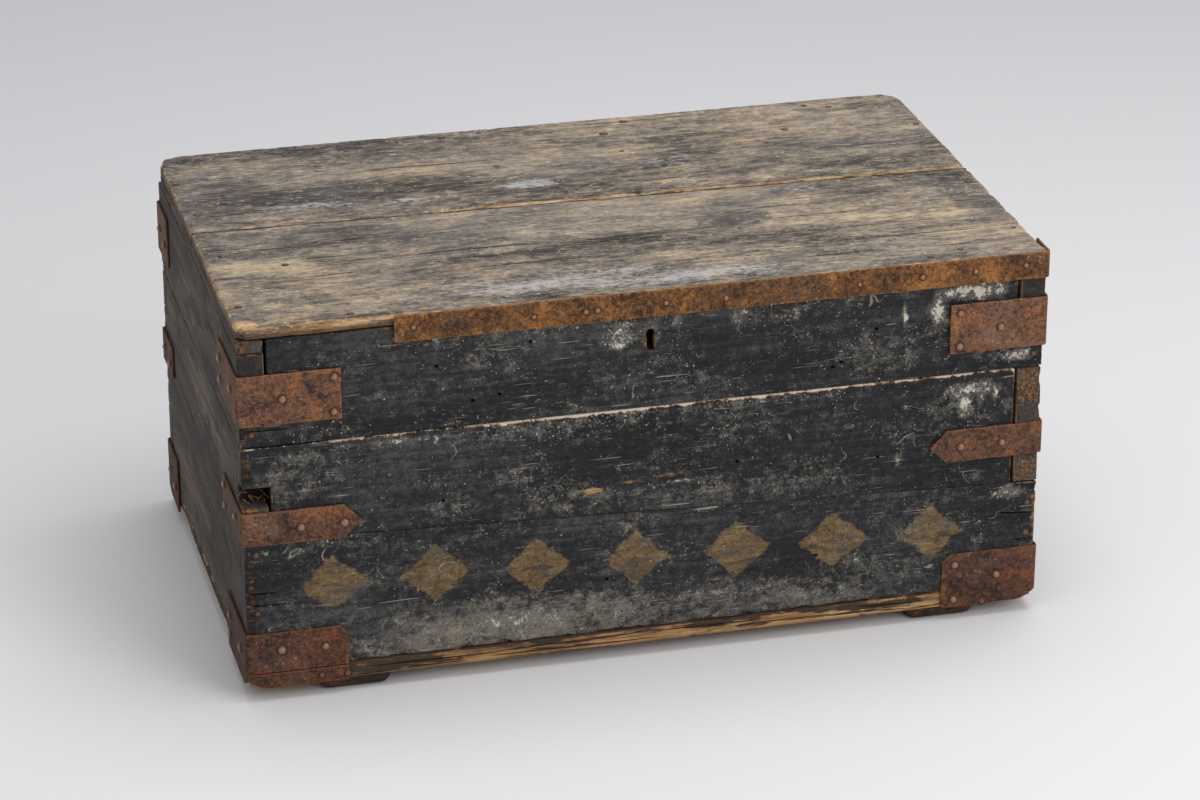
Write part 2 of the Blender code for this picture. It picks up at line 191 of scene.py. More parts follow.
def blank_board(outline, axis, low, high):
    """Squared board: its outline across one axis, drawn out along that axis."""
    shape = new_shape()
    face = shape.faces.new([shape.verts.new(in_space(pair, axis, low)) for pair in outline])
    grown = bmesh.ops.extrude_face_region(shape, geom=[face])["geom"]
    raised = [item for item in grown if isinstance(item, bmesh.types.BMVert)]
    bmesh.ops.translate(shape, vec=along_axis(axis, high - low), verts=raised)
    bmesh.ops.recalc_face_normals(shape, faces=shape.faces)
    return shape


def sharp_edges(shape):
    return [edge for edge in shape.edges if edge.is_manifold and edge.calc_face_angle(0) > 0.5]


def arris_points(shape, spacing=0.002):
    points = []
    for edge in sharp_edges(shape):
        start, end = (corner.co.copy() for corner in edge.verts)
        count = max(2, int((end - start).length / spacing))
        points.extend(start.lerp(end, index / count) for index in range(count + 1))
    return points


def slice_along(shape, axis, step):
    """Cuts the board's faces into strips of one width, so that they can be worn and marked."""
    through = axis_number[axis]
    across = along_axis(axis)
    low = min(point.co[through] for point in shape.verts)
    high = max(point.co[through] for point in shape.verts)
    count = max(1, round((high - low) / step))
    for index in range(1, count):
        cut_across(shape, across * (low + (high - low) * index / count), across)


def searchable(points):
    nearest = kdtree.KDTree(len(points))
    for index, place in enumerate(points):
        nearest.insert(place, index)
    nearest.balance()
    return nearest


def wear_down(shape, arrises, wear, chip, seed, local=None):
    """Rounds and chips the sharp edges, and notes on every point how worn it is."""
    nearest = searchable(arrises)
    edge = shape.verts.layers.float["edge"]
    shift = Vector((seed * 7.31, seed * 3.17, seed * 1.73))
    shape.normal_update()
    moves = []
    for point in shape.verts:
        near, _, gap = nearest.find(point.co)
        grade = local(near) if local else 1
        rounding = wear * (0.8 + 0.6 * noise.noise(near * 26 + shift))
        bite = max(0, noise.noise(near * 80 + shift) - 0.22) / 0.6
        depth = grade * (rounding + chip * bite)
        point[edge] = max(0, 1 - gap / (depth * 1.7 + 0.0012))
        sink = max(0, depth - gap) * 0.62 + 0.0002 * (1 + noise.noise(point.co * 21 + shift))
        moves.append((point, point.normal * sink))
    for point, move in moves:
        point.co -= move


def cut_across(shape, place, normal, trim=False):
    """Cuts all faces along a plane; trim also takes away what lies beyond it."""
    everything = shape.verts[:] + shape.edges[:] + shape.faces[:]
    bmesh.ops.bisect_plane(shape, geom=everything, dist=0.00002, plane_co=place, plane_no=normal,
                           clear_outer=trim)


def round_off(shape, edges, radius, segments=2):
    bmesh.ops.bevel(shape, geom=edges, offset=radius, offset_type="OFFSET", segments=segments, profile=0.5,
                    affect="EDGES", clamp_overlap=True, material=-1)


def rim_rows(shape, outline, axis, low, high):
    """Two close rows of points beside each long edge, so that wear can round it."""
    sides = list(zip(outline, outline[1:] + outline[:1]))
    turning = sum(first[0] * second[1] - second[0] * first[1] for first, second in sides)
    for start, end in sides:
        run = Vector(end) - Vector(start)
        if run.length < 0.02:
            continue
        inward = Vector((-run.y, run.x)).normalized() * (1 if turning > 0 else -1)
        for inset in (0.0026, 0.0058):
            cut_across(shape, in_space(Vector(start) + inward * inset, axis, 0), in_space(inward, axis, 0))
    across = along_axis(axis)
    for level in (low + 0.003, high - 0.003):
        cut_across(shape, across * level, across)


def worn_board(outline, axis, low, high, steps, wear, chip, seed, local=None, ease=0.0018, cut=None,
               trim=None):
    """Board cut to its outline with eased edges, sliced fine and then worn."""
    shape = blank_board(outline, axis, low, high)
    if trim:
        trim(shape)
    arrises = arris_points(shape)
    round_off(shape, sharp_edges(shape), ease)
    if cut:
        arrises.extend(cut(shape))
    rim_rows(shape, outline, axis, low, high)
    for cut_axis, step in steps:
        slice_along(shape, cut_axis, step)
    wear_down(shape, arrises, wear, chip, seed, local)
    return shape


def mark_face(shape, mark, axis, face, spots):
    """Puts soft spots (place along, place up, half width, half height, strength) on one outside face."""
    layer = shape.verts.layers.float[mark]
    through = axis_number[axis]
    first, second = [number for number in (0, 1, 2) if number != through]
    for point in shape.verts:
        if abs(point.co[through] - face) > 0.005:
            continue
        for along, up, half_width, half_height, strength in spots:
            aside = (point.co[first] - along) / half_width
            above = (point.co[second] - up) / half_height
            reach = aside ** 2 + above ** 2
            if reach < 1:
                value = strength * (1 - reach)
                point[layer] = value if abs(value) > abs(point[layer]) else point[layer]


def split_grain(shape, start, end, outward, width=0.0012, depth=0.003):
    """Opens a crack between two points of a face: three close cuts, the middle one pressed in and marked to
    be painted dark, shade and grime in the crack.
    """
    start, end, outward = Vector(start), Vector(end), Vector(outward)
    run = end - start
    length = run.length
    run.normalize()
    side = run.cross(outward)
    faces = []
    for face in shape.faces:
        offset = face.calc_center_median() - start
        along = offset.dot(run)
        beside = abs(offset.dot(side)) < 0.008 and abs(offset.dot(outward)) < 0.006
        if beside and -0.002 < along < length + 0.002 and face.normal.dot(outward) > 0.6:
            faces.append(face)
    found = set(faces)
    for face in faces:
        found.update(face.verts)
        found.update(face.edges)
    geometry = list(found)
    for shift in (-width, 0, width):
        cut = bmesh.ops.bisect_plane(shape, geom=geometry, dist=0.00002, plane_co=start + side * shift,
                                     plane_no=side)
        geometry = cut["geom"]
    hollow_shade_and_grime = shape.verts.layers.float["hollow_shade_and_grime"]
    for point in {item for item in geometry if isinstance(item, bmesh.types.BMVert)}:
        offset = point.co - start
        share = offset.dot(run) / length
        if 0 < share < 1 and abs(offset.dot(side)) < width * 0.3:
            taper = 1 - abs(2 * share - 1) ** 3
            point.co -= outward * depth * taper
            point[hollow_shade_and_grime] = taper


def line_inside(shape, axis, inner):
    """Gives the faces on the inside of the chest their own bare finish."""
    through = axis_number[axis]
    for face in shape.faces:
        if abs(face.calc_center_median()[through] - inner) < 0.0022 and abs(face.normal[through]) > 0.4:
            face.material_index = 1


def place_piece(name, shape, finishes, body, slot, *nodes):
    mesh = bpy.data.meshes.new(name)
    shape.to_mesh(mesh)
    shape.free()
    for finish in finishes:
        mesh.materials.append(finish)
    for face in mesh.polygons:
        face.use_smooth = True
    mesh.set_sharp_from_angle(angle=math.radians(50))
    piece = bpy.data.objects.new(name, mesh)
    bpy.context.scene.collection.objects.link(piece)
    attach(piece, body)
    if nodes:
        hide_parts(*nodes)
    return piece


def calc(tree, operation, first, second=0.0, clamp=False):
    node = tree.nodes.new("ShaderNodeMath")
    node.operation = operation
    node.use_clamp = clamp
    join(tree, node.inputs[0], first)
    join(tree, node.inputs[1], second)
    return node.outputs[0]


def weigh(tree, *parts):
    """Sum of patterns, each counted with its own weight."""
    total = 0.0
    for value, weight in parts:
        node = tree.nodes.new("ShaderNodeMath")
        node.operation = "MULTIPLY_ADD"
        join(tree, node.inputs[0], value)
        join(tree, node.inputs[1], weight)
        join(tree, node.inputs[2], total)
        total = node.outputs[0]
    return total


def glaze(tree, share, strength, under, over):
    """Lays one colour over another, nowhere thicker than the strength."""
    return cover(tree, calc(tree, "MULTIPLY", share, strength), under, over)


def cloud(tree, vector, detail=4.0, rough=0.55, twist=0.0, size=1.0):
    node = tree.nodes.new("ShaderNodeTexNoise")
    join(tree, node.inputs["Vector"], vector)
    node.inputs["Scale"].default_value = size
    node.inputs["Detail"].default_value = detail
    node.inputs["Roughness"].default_value = rough
    node.inputs["Distortion"].default_value = twist
    return node.outputs[0]


def shades(tree, value, *stops):
    node = tree.nodes.new("ShaderNodeValToRGB")
    ramp = node.color_ramp
    ramp.elements.remove(ramp.elements[1])
    ramp.elements[0].position = stops[0][0]
    ramp.elements[0].color = stops[0][1]
    for position, colour in stops[1:]:
        ramp.elements.new(position).color = colour
    join(tree, node.inputs[0], value)
    return node.outputs[0]


def noted(tree, mark):
    """How worn a point is, or how much painted shade it takes, as noted on the mesh when it was shaped."""
    node = tree.nodes.new("ShaderNodeAttribute")
    node.attribute_name = mark
    return node.outputs["Fac"]


def relief(tree, shader, height, depth, strength=1.0):
    bump = tree.nodes.new("ShaderNodeBump")
    bump.inputs["Strength"].default_value = strength
    bump.inputs["Distance"].default_value = depth
    join(tree, bump.inputs["Height"], height)
    tree.links.new(bump.outputs["Normal"], shader.inputs["Normal"])


def along_grain(axis, slow, fast):
    stretch = [fast, fast, fast]
    stretch[axis_number[axis]] = slow
    return stretch


def raw_pine(name, axis, seed, light, middle, dark, dirt, splits=0.92):
    """Bare old pine: long light and dark streaks, grime in patches with painted shade where marks trace a
    gap, black in the splits.
    """
    finish, tree, shader = new_finish(name)
    shift = (seed * 1.7, seed * 2.3, seed * 3.1)
    streaks = cloud(tree, space(tree, along_grain(axis, 7, 260), shift), 5, 0.66)
    bands = cloud(tree, space(tree, along_grain(axis, 2, 38), shift), 4, 0.55, 0.4)
    blots = cloud(tree, space(tree, along_grain(axis, 14, 60), shift), 6, 0.68)
    wood = shades(tree, weigh(tree, (streaks, 0.45), (bands, 0.3), (blots, 0.25)), (0.38, dark),
                  (0.5, middle), (0.61, light))
    patches = cloud(tree, space(tree, along_grain(axis, 8, 48), (shift[2], shift[0], shift[1])), 6, 0.68)
    # Grime in patches; marks that trace a gap add painted shade to it.
    grime_and_shade = fade(tree, weigh(tree, (patches, 0.8), (streaks, 0.2), (noted(tree, "edge"), -0.1),
                             (noted(tree, "scuff_and_shade"), 0.2)),
                 0.60 - dirt, 0.65 - dirt)
    colour = glaze(tree, grime_and_shade, 0.9, wood, tone(44, 38, 34))
    colour = glaze(tree, fade(tree, streaks, 0.555, 0.60), splits, colour, tone(32, 24, 19))
    # Painted shade and grime: marked cracks, holes and gaps go near black.
    colour = cover(tree, fade(tree, noted(tree, "hollow_shade_and_grime"), 0.2, 0.7), colour, tone(14, 10, 8))
    join(tree, shader.inputs["Base Color"], colour)
    join(tree, shader.inputs["Roughness"], weigh(tree, (bands, 0.25), (1.0, 0.7)))
    shader.inputs["Specular IOR Level"].default_value = 0.25
    relief(tree, shader, weigh(tree, (streaks, 1), (bands, 0.7), (grime_and_shade, 0.35)), 0.0009)
    return finish


def oblong(first_low, first_high, second_low, second_high):
    return [(first_low, second_low), (first_high, second_low), (first_high, second_high),
            (first_low, second_high)]


def bottom_wear(near):
    """The corners of the chest's foot are knocked round."""
    return 3.2 if abs(near.x) > 0.44 and near.z < 0.025 else 1


bottom_pine = raw_pine("bottom_pine", "x", 1, tone(220, 188, 142), tone(164, 124, 82), tone(58, 42, 30), 0.07)
for number in (1, 2, 3):
    node = f"bottom_board_{number}"
    low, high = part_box(node)
    shape = worn_board(oblong(low.x, high.x, low.y, high.y), "z", low.z, high.z,
                       (("x", 0.005), ("y", 0.012 if number == 1 else 0.03), ("z", 0.004)),
                       0.0022, 0.005 if number == 1 else 0.002, number, bottom_wear)
    if number == 1:
        splits = ((-0.33, -0.16, 0.0275), (-0.2, 0.02, 0.0225), (-0.28, -0.21, 0.0215), (0.0, 0.16, 0.029),
                  (0.1, 0.33, 0.0245), (0.24, 0.335, 0.0285), (0.27, 0.34, 0.0205))
        for start, end, height in splits:
            split_grain(shape, (start, low.y, height), (end, low.y, height - 0.002), (0, -1, 0), 0.0011,
                        0.004)
        # The first spot paints a shadow line along the strip's top, under the front boards; the rest darken
        # it with grime.
        mark_face(shape, "scuff_and_shade", "y", low.y, ((0.0, 0.0352, 0.46, 0.003, 1.2),
                                               (-0.32, 0.026, 0.05, 0.012, 0.1),
                                               (0.02, 0.031, 0.14, 0.007, 0.6),
                                               (0.25, 0.031, 0.1, 0.006, 0.6)))
    if number == 3:
        mark_face(shape, "scuff_and_shade", "y", high.y, ((0.0, 0.026, 0.5, 0.02, 0.35),))
    for end_face in (low.x, high.x):
        mark_face(shape, "scuff_and_shade", "x", end_face, ((0.0, 0.026, 0.4, 0.03, 0.8),))
    place_piece(f"bottom_plank_{number}", shape, [bottom_pine], "box", "raw_wood", node)


# Runners: two stout pine battens nailed across under the bottom, near its ends.
# They carry the chest, so their ends are rubbed round like a sledge's and dirty.
def round_noses(shape):
    """Rounds the side corners of both ends in plan."""
    near = min(point.co.y for point in shape.verts)
    far = max(point.co.y for point in shape.verts)
    sides = []
    for edge in shape.edges:
        first, second = (corner.co for corner in edge.verts)
        at_nose = max(first.y, second.y) < near + 0.012 or min(first.y, second.y) > far - 0.012
        if at_nose and abs(first.x - second.x) < 0.001:
            sides.append(edge)
    round_off(shape, sides, 0.010, 4)


runner_pine = raw_pine("runner_pine", "y", 4, tone(112, 78, 54), tone(76, 52, 38), tone(44, 31, 25), 0.12)
for side in ("left", "right"):
    low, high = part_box(f"{side}_runner")
    nose = [(low.y + 0.009, 0), (high.y - 0.009, 0), (high.y - 0.003, 0.003), (high.y, 0.009),
            (high.y, high.z), (low.y, high.z), (low.y, 0.009), (low.y + 0.003, 0.003)]
    shape = worn_board(nose, "x", low.x, high.x, (("y", 0.007), ("x", 0.006), ("z", 0.004)), 0.002, 0.005, 5,
                       None, 0.0012, trim=round_noses)
    place_piece(f"{side}_rail", shape, [runner_pine], "box", "raw_wood", f"{side}_runner")

# Front: three black-painted boards that stop at the ends or run out over them as joint fingers.
# The paint is scuffed grey, chipped to raw wood along the joints and splashed with white.
face_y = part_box("front_middle_board")[0].y
lining_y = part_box("front_middle_board")[1].y
half_length = 0.457
joint_butt = 0.4277
upper_seam = 0.3061
low_seam = ((-half_length, 0.1965), (half_length, 0.163))


def seam_at(x):
    share = (x - low_seam[0][0]) / (low_seam[1][0] - low_seam[0][0])
    return low_seam[0][1] + (low_seam[1][1] - low_seam[0][1]) * share


def strongest(tree, value, *others):
    for other in others:
        value = calc(tree, "MAXIMUM", value, other)
    return value


def scratches(tree, vector, dense):
    """Thin broken lines along the first axis of a turned space."""
    lines = cloud(tree, vector, 1.5, 0.5)
    gate = cloud(tree, vector, 2, 0.5, 0, 0.23)
    return calc(tree, "MULTIPLY", fade(tree, lines, 0.70, 0.74), fade(tree, gate, 0.62 - dense, 0.66 - dense))


def hairs(tree, vector, width, few):
    """Fine curling scratches: short stretches of the level lines of a slow pattern."""
    swirl = cloud(tree, vector, 1.2, 0.45, 0.7)
    line = fade(tree, calc(tree, "ABSOLUTE", calc(tree, "SUBTRACT", swirl, 0.5)), width, width * 0.35)
    gate = fade(tree, cloud(tree, vector, 3, 0.6, 0, 0.8), few, few + 0.05)
    return calc(tree, "MULTIPLY", line, gate)


def painted_lozenges(tree, flat, wear):
    """Share of a row of plain lozenges that is left, slightly uneven in size and rubbed through."""
    axes = object_axes(tree)
    along = axes["X"]
    middle = weigh(tree, (along, -0.031), (1.0, 0.1235))
    out = calc(tree, "DIVIDE", calc(tree, "PINGPONG", calc(tree, "ADD", along, 0.475), 0.0575), 0.041)
    up = calc(tree, "DIVIDE", calc(tree, "ABSOLUTE", calc(tree, "SUBTRACT", axes["Z"], middle)), 0.037)
    ragged = weigh(tree, (cloud(tree, flat, 6, 0.76, 0, 55), 0.95), (cloud(tree, flat, 2, 0.5, 0, 7), 0.5))
    drawn = fade(tree, weigh(tree, (out, 1), (up, 1), (ragged, 1)), 1.71, 1.61)
    ends = fade(tree, calc(tree, "ABSOLUTE", calc(tree, "ADD", along, 0.015)), 0.403, 0.402)
    return calc(tree, "MULTIPLY", calc(tree, "MULTIPLY", drawn, ends), wear)


def black_paint(name, seed, lozenges=False, lip=None):
    """Dull black oil paint: mottled, scuffed in grains, flecked, splashed white and chipped to the wood."""
    finish, tree, shader = new_finish(name)
    shift = (seed * 2.9, seed * 1.3, seed * 4.7)
    flat = space(tree, (1, 1, 1), shift)
    slow = cloud(tree, space(tree, (3.5, 3.5, 9), shift), 5, 0.6)
    brush = cloud(tree, space(tree, (9, 90, 170), shift), 5, 0.66)
    mottle = cloud(tree, flat, 6, 0.78, 0.3, 90)
    dust = cloud(tree, flat, 4, 0.78, 0, 420)
    places = cloud(tree, space(tree, (11, 11, 18), shift), 6, 0.72)
    value = weigh(tree, (slow, 0.3), (brush, 0.2), (mottle, 0.3), (dust, 0.2), (noted(tree, "scuff_and_shade"), 0.008))
    colour = shades(tree, value, (0.43, tone(18, 18, 20)), (0.50, tone(36, 36, 39)), (0.58, tone(72, 71, 69)))
    strokes = cloud(tree, space(tree, (45, 45, 130), shift, (0, 0.35, 0)), 5, 0.72, 0.5)
    rubbed = weigh(tree, (dust, 0.28), (mottle, 0.36), (strokes, 0.3), (places, 0.41),
                   (noted(tree, "scuff_and_shade"), 0.038))
    colour = glaze(tree, fade(tree, rubbed, 0.69, 0.85), 0.62, colour, tone(120, 114, 103))
    colour = glaze(tree, fade(tree, rubbed, 0.79, 0.93), 0.4, colour, tone(156, 144, 124))
    if lozenges:
        left = fade(tree, weigh(tree, (mottle, 0.45), (dust, 0.35), (strokes, 0.35)), 0.645, 0.56)
        ochre = shades(tree, weigh(tree, (mottle, 0.6), (dust, 0.4)), (0.41, tone(74, 58, 38)),
                       (0.5, tone(118, 94, 61)), (0.58, tone(158, 130, 90)))
        colour = glaze(tree, painted_lozenges(tree, flat, left), 0.92, colour, ochre)
    curls = hairs(tree, space(tree, (75, 75, 95), shift), 0.022, 0.40)
    thin = strongest(tree, scratches(tree, space(tree, (14, 14, 430), shift, (0, 0.06, 0)), 0.10),
                     scratches(tree, space(tree, (24, 24, 380), shift, (0, 0.72, 0)), 0.09),
                     scratches(tree, space(tree, (24, 24, 380), shift, (0, -1.0, 0)), 0.09),
                     scratches(tree, space(tree, (15, 15, 360), shift, (0, 1.55, 0)), 0.09),
                     hairs(tree, space(tree, (24, 24, 30), shift), 0.010, 0.60),
                     calc(tree, "MULTIPLY", curls, fade(tree, rubbed, 0.70, 0.80)))
    colour = glaze(tree, thin, 0.62, colour, tone(158, 152, 140))
    fine = weigh(tree, (cloud(tree, flat, 3, 0.65, 0, 330), 1), (places, 0.3), (noted(tree, "smear"), 0.1))
    grains = cloud(tree, flat, 5, 0.72, 0, 130)
    coarse = weigh(tree, (grains, 1), (slow, 0.2), (noted(tree, "smear"), 0.1))
    flecks = strongest(tree, fade(tree, fine, 0.815, 0.855), fade(tree, coarse, 0.79, 0.83))
    colour = glaze(tree, flecks, 0.8, colour, tone(188, 180, 162))
    smear = weigh(tree, (cloud(tree, space(tree, (44, 44, 34), shift), 7, 0.78), 0.5), (mottle, 0.3),
                  (dust, 0.2), (noted(tree, "smear"), 0.27))
    splash = fade(tree, weigh(tree, (smear, 0.7), (grains, 0.3)), 0.628, 0.65)
    colour = glaze(tree, fade(tree, smear, 0.57, 0.66), 0.4, colour, tone(122, 118, 110))
    colour = glaze(tree, splash, 0.85, colour, tone(204, 196, 180))
    grain = cloud(tree, space(tree, (8, 200, 260), shift), 5, 0.66)
    wood = shades(tree, weigh(tree, (grain, 0.6), (mottle, 0.4)), (0.38, tone(56, 38, 26)),
                  (0.49, tone(116, 81, 51)), (0.60, tone(186, 148, 104)))
    chips = weigh(tree, (cloud(tree, flat, 6, 0.75, 0, 85), 0.7), (brush, 0.3))
    worn = strongest(tree, noted(tree, "edge"), noted(tree, "bare"))
    bare = fade(tree, weigh(tree, (worn, 0.5), (chips, 1)), 0.80, 0.92)
    if lip:
        axes = object_axes(tree)
        rise = weigh(tree, (axes["Z"], 1), (chips, 0.014), (places, 0.012), (mottle, 0.008))
        shown = fade(tree, weigh(tree, (axes["X"], 1), (places, 0.3)), -0.25, -0.17)
        pale = calc(tree, "MULTIPLY", fade(tree, rise, lip + 0.0146, lip + 0.0158), shown)
        wood = glaze(tree, fade(tree, rise, lip + 0.0153, lip + 0.0168), 0.85, wood, tone(206, 195, 178))
        bare = strongest(tree, bare, pale)
    colour = cover(tree, bare, colour, wood)
    # Painted shade and grime: marked cracks, holes and joint gaps go near black.
    colour = cover(tree, fade(tree, noted(tree, "hollow_shade_and_grime"), 0.25, 0.7), colour, tone(12, 10, 9))
    join(tree, shader.inputs["Base Color"], colour)
    join(tree, shader.inputs["Roughness"], weigh(tree, (rubbed, 0.36), (1.0, 0.38)))
    shader.inputs["Specular IOR Level"].default_value = 0.24
    relief(tree, shader, weigh(tree, (brush, 0.7), (mottle, 0.6), (bare, -0.9), (thin, -0.6), (splash, 0.6)),
           0.0006)
    return finish


def keyhole_cut(shape):
    """Cuts the keyhole, a round head over a straight slot, right through the board; gives back its rim."""
    rim = [(-0.0041, 0.374), (0.0041, 0.374)]
    for step in range(13):
        turn = math.radians(-35 + 250 * step / 12)
        rim.append((0.005 * math.cos(turn), 0.393 + 0.005 * math.sin(turn)))
    objects = []
    for name, solid in (("board", shape), ("keyhole", blank_board(rim, "y", face_y - 0.01, lining_y + 0.01))):
        mesh = bpy.data.meshes.new(name)
        solid.to_mesh(mesh)
        objects.append(bpy.data.objects.new(name, mesh))
        bpy.context.scene.collection.objects.link(objects[-1])
    board, keyhole = objects
    cut = board.modifiers.new("keyhole", "BOOLEAN")
    cut.object = keyhole
    cut.solver = "EXACT"
    cut.operation = "DIFFERENCE"
    bpy.context.view_layer.update()
    mesh = bpy.data.meshes.new_from_object(board.evaluated_get(bpy.context.evaluated_depsgraph_get()))
    shape.clear()
    shape.from_mesh(mesh)
    for item in objects:
        bpy.data.objects.remove(item)
    ring = []
    for start, end in zip(rim, rim[1:] + rim[:1]):
        for share in (0, 0.5):
            place = Vector(start).lerp(Vector(end), share)
            ring.append(Vector((place.x, face_y + 0.0015, place.y)))
    return ring


inside_pine = raw_pine("inside_pine", "x", 7, tone(150, 124, 94), tone(122, 98, 73), tone(84, 66, 50), -0.06,
                       0.35)
front_outlines = {
    "upper": [(-half_length, 0.3063), (half_length, 0.3063), (half_length, 0.3527), (joint_butt, 0.3527),
              (joint_butt, 0.4317), (-joint_butt, 0.4317), (-joint_butt, 0.3637), (-half_length, 0.3637)],
    "middle": [(-joint_butt, seam_at(-joint_butt)), (joint_butt, seam_at(joint_butt)),
               (joint_butt, upper_seam), (-half_length, upper_seam), (-half_length, 0.2583),
               (-joint_butt, 0.2583)],
    "lower": [(-half_length, 0.036), (half_length, 0.036), (half_length, seam_at(half_length)),
              (-half_length, seam_at(-half_length))],
}
# Among each board's marks, the hollow spots at the board's ends paint shade and grime dark into the joints.
front_marks = {
    "upper": {
        "smear": ((0.375, 0.405, 0.062, 0.016, 0.85), (0.33, 0.387, 0.016, 0.024, 0.7),
                  (0.425, 0.322, 0.034, 0.011, 0.85), (0.166, 0.402, 0.006, 0.016, 0.8),
                  (0.292, 0.385, 0.006, 0.022, 0.75), (0.298, 0.325, 0.009, 0.020, 0.6),
                  (-0.035, 0.394, 0.022, 0.022, 0.75), (-0.24, 0.410, 0.016, 0.012, 0.65),
                  (0.1, 0.405, 0.02, 0.012, 0.6), (0.18, 0.408, 0.018, 0.010, 0.6),
                  (0.235, 0.404, 0.012, 0.014, 0.5), (0.03, 0.407, 0.012, 0.016, 0.5),
                  (-0.12, 0.412, 0.05, 0.006, 0.5), (-0.31, 0.352, 0.02, 0.008, 0.5),
                  (0.0, 0.411, 0.45, 0.008, 0.3), (0.0, 0.386, 0.011, 0.019, 0.7)),
        "bare": ((-0.036, 0.395, 0.012, 0.013, 0.85), (0.0, 0.386, 0.0105, 0.019, 1.3),
                 (-0.455, 0.323, 0.02, 0.022, 0.75)),
        "hollow_shade_and_grime": ((-0.457, 0.335, 0.022, 0.04, 0.6),),
        "scuff_and_shade": ((-0.18, 0.38, 0.12, 0.04, 0.3), (-0.03, 0.345, 0.08, 0.03, 0.9),
                  (0.3, 0.34, 0.1, 0.05, 0.6), (-0.19, 0.37, 0.02, 0.05, 1.0),
                  (-0.29, 0.36, 0.05, 0.04, 0.2)),
    },
    "middle": {
        "smear": ((0.372, 0.286, 0.05, 0.014, 0.85), (0.366, 0.268, 0.012, 0.03, 0.85),
                  (0.15, 0.272, 0.1, 0.006, 0.45), (0.385, 0.274, 0.006, 0.02, 0.7),
                  (0.35, 0.276, 0.006, 0.016, 0.65), (0.402, 0.28, 0.007, 0.016, 0.7),
                  (-0.39, 0.29, 0.05, 0.012, 0.5), (-0.1, 0.292, 0.2, 0.010, 0.4),
                  (0.29, 0.21, 0.006, 0.016, 0.65), (0.02, 0.299, 0.40, 0.006, 0.45),
                  (-0.28, 0.297, 0.12, 0.006, 0.6), (0.42, 0.27, 0.02, 0.03, 0.4),
                  (-0.34, 0.205, 0.03, 0.006, 0.6), (0.05, 0.213, 0.05, 0.003, 0.6)),
        "bare": ((-0.067, 0.213, 0.024, 0.007, 1.0), (-0.025, 0.218, 0.035, 0.006, 0.85),
                 (0.02, 0.221, 0.03, 0.006, 0.85), (-0.455, 0.283, 0.018, 0.028, 0.85),
                 (-0.2, 0.221, 0.02, 0.003, 0.5)),
        "hollow_shade_and_grime": ((-0.457, 0.28, 0.020, 0.05, 0.6),),
        "scuff_and_shade": ((-0.418, 0.262, 0.046, 0.042, 2.0), (-0.226, 0.208, 0.045, 0.020, 1.4),
                  (0.1, 0.25, 0.3, 0.05, 0.2), (-0.22, 0.25, 0.012, 0.06, 1.0), (0.05, 0.2, 0.25, 0.02, 1.2),
                  (-0.16, 0.24, 0.02, 0.06, 0.7), (-0.26, 0.255, 0.1, 0.045, -1.8)),
    },
    "lower": {
        "smear": ((0.425, 0.153, 0.03, 0.012, 0.75), (0.388, 0.098, 0.012, 0.014, 0.7),
                  (-0.15, 0.064, 0.07, 0.018, 0.62), (0.23, 0.09, 0.05, 0.012, 0.4),
                  (-0.34, 0.196, 0.02, 0.006, 0.6)),
        "bare": ((-0.456, 0.13, 0.018, 0.08, 0.85), (0.456, 0.12, 0.010, 0.06, 0.9),
                 (0.235, 0.087, 0.009, 0.005, 0.8), (-0.1, 0.038, 0.3, 0.003, 0.5),
                 (-0.44, 0.1, 0.02, 0.03, 0.45)),
        "hollow_shade_and_grime": ((-0.457, 0.13, 0.022, 0.11, 0.62), (0.457, 0.12, 0.016, 0.1, 0.42)),
        "scuff_and_shade": ((-0.16, 0.056, 0.26, 0.05, 4.0), (0.1, 0.055, 0.3, 0.035, 2.4),
                  (-0.35, 0.06, 0.1, 0.05, 1.8), (0.25, 0.07, 0.12, 0.025, 1.4), (0.3, 0.14, 0.1, 0.03, 0.7)),
    },
}
front_holes = {
    "upper": ((-0.24, 0.378), (-0.201, 0.334), (-0.169, 0.338), (-0.134, 0.396), (0.26, 0.371), (0.22, 0.337),
              (0.209, 0.329)),
    "middle": ((0.265, 0.214), (-0.236, 0.22), (0.1, 0.23)),
    "lower": ((0.193, 0.099), (-0.05, 0.1)),
}


def mark_faces(shape, axis, face, marks):
    for mark, spots in marks.items():
        mark_face(shape, mark, axis, face, spots)


def pierce(shape, axis, face_level, spots, depth=0.007):
    """Old square nail holes: the nearest small facet is drawn in and pressed down, its bottom marked to be
    painted dark with shade and grime.
    """
    through = axis_number[axis]
    hollow_shade_and_grime = shape.verts.layers.float["hollow_shade_and_grime"]
    facets = [facet for facet in shape.faces if abs(facet.calc_center_median()[through] - face_level) < 0.002]
    for pair in spots:
        place = in_space(pair, axis, face_level)
        facet = min(facets, key=lambda item: (item.calc_center_median() - place).length)
        facets.remove(facet)
        inward = -facet.normal
        for thickness, sink in ((0.0006, 0.0004), (0.0004, depth)):
            bmesh.ops.inset_individual(shape, faces=[facet], thickness=thickness)
            for point in facet.verts:
                point.co += inward * sink
                point[hollow_shade_and_grime] = 1 if sink == depth else point[hollow_shade_and_grime]


butt_depth = 0.012


def ease_butts(shape):
    """Shrinks the ends that butt on the joint fingers at the face, so that a gap shows there."""
    cut_across(shape, Vector((0, face_y + butt_depth, 0)), Vector((0, 1, 0)))
    for point in shape.verts:
        if abs(abs(point.co.x) - joint_butt) < 0.0002 and point.co.y < face_y + 0.01:
            point.co.x *= 0.9925


def shade_butts(shape):
    """Paints shade on those ends, darker towards the inside of the joint, on a board that is already sliced.
    """
    hollow_shade_and_grime = shape.verts.layers.float["hollow_shade_and_grime"]
    shape.normal_update()
    for point in shape.verts:
        if -0.0042 < abs(point.co.x) - joint_butt < 0.0008 and abs(point.normal.x) > 0.8:
            point[hollow_shade_and_grime] = min(1, max(0, (point.co.y - face_y) / butt_depth))


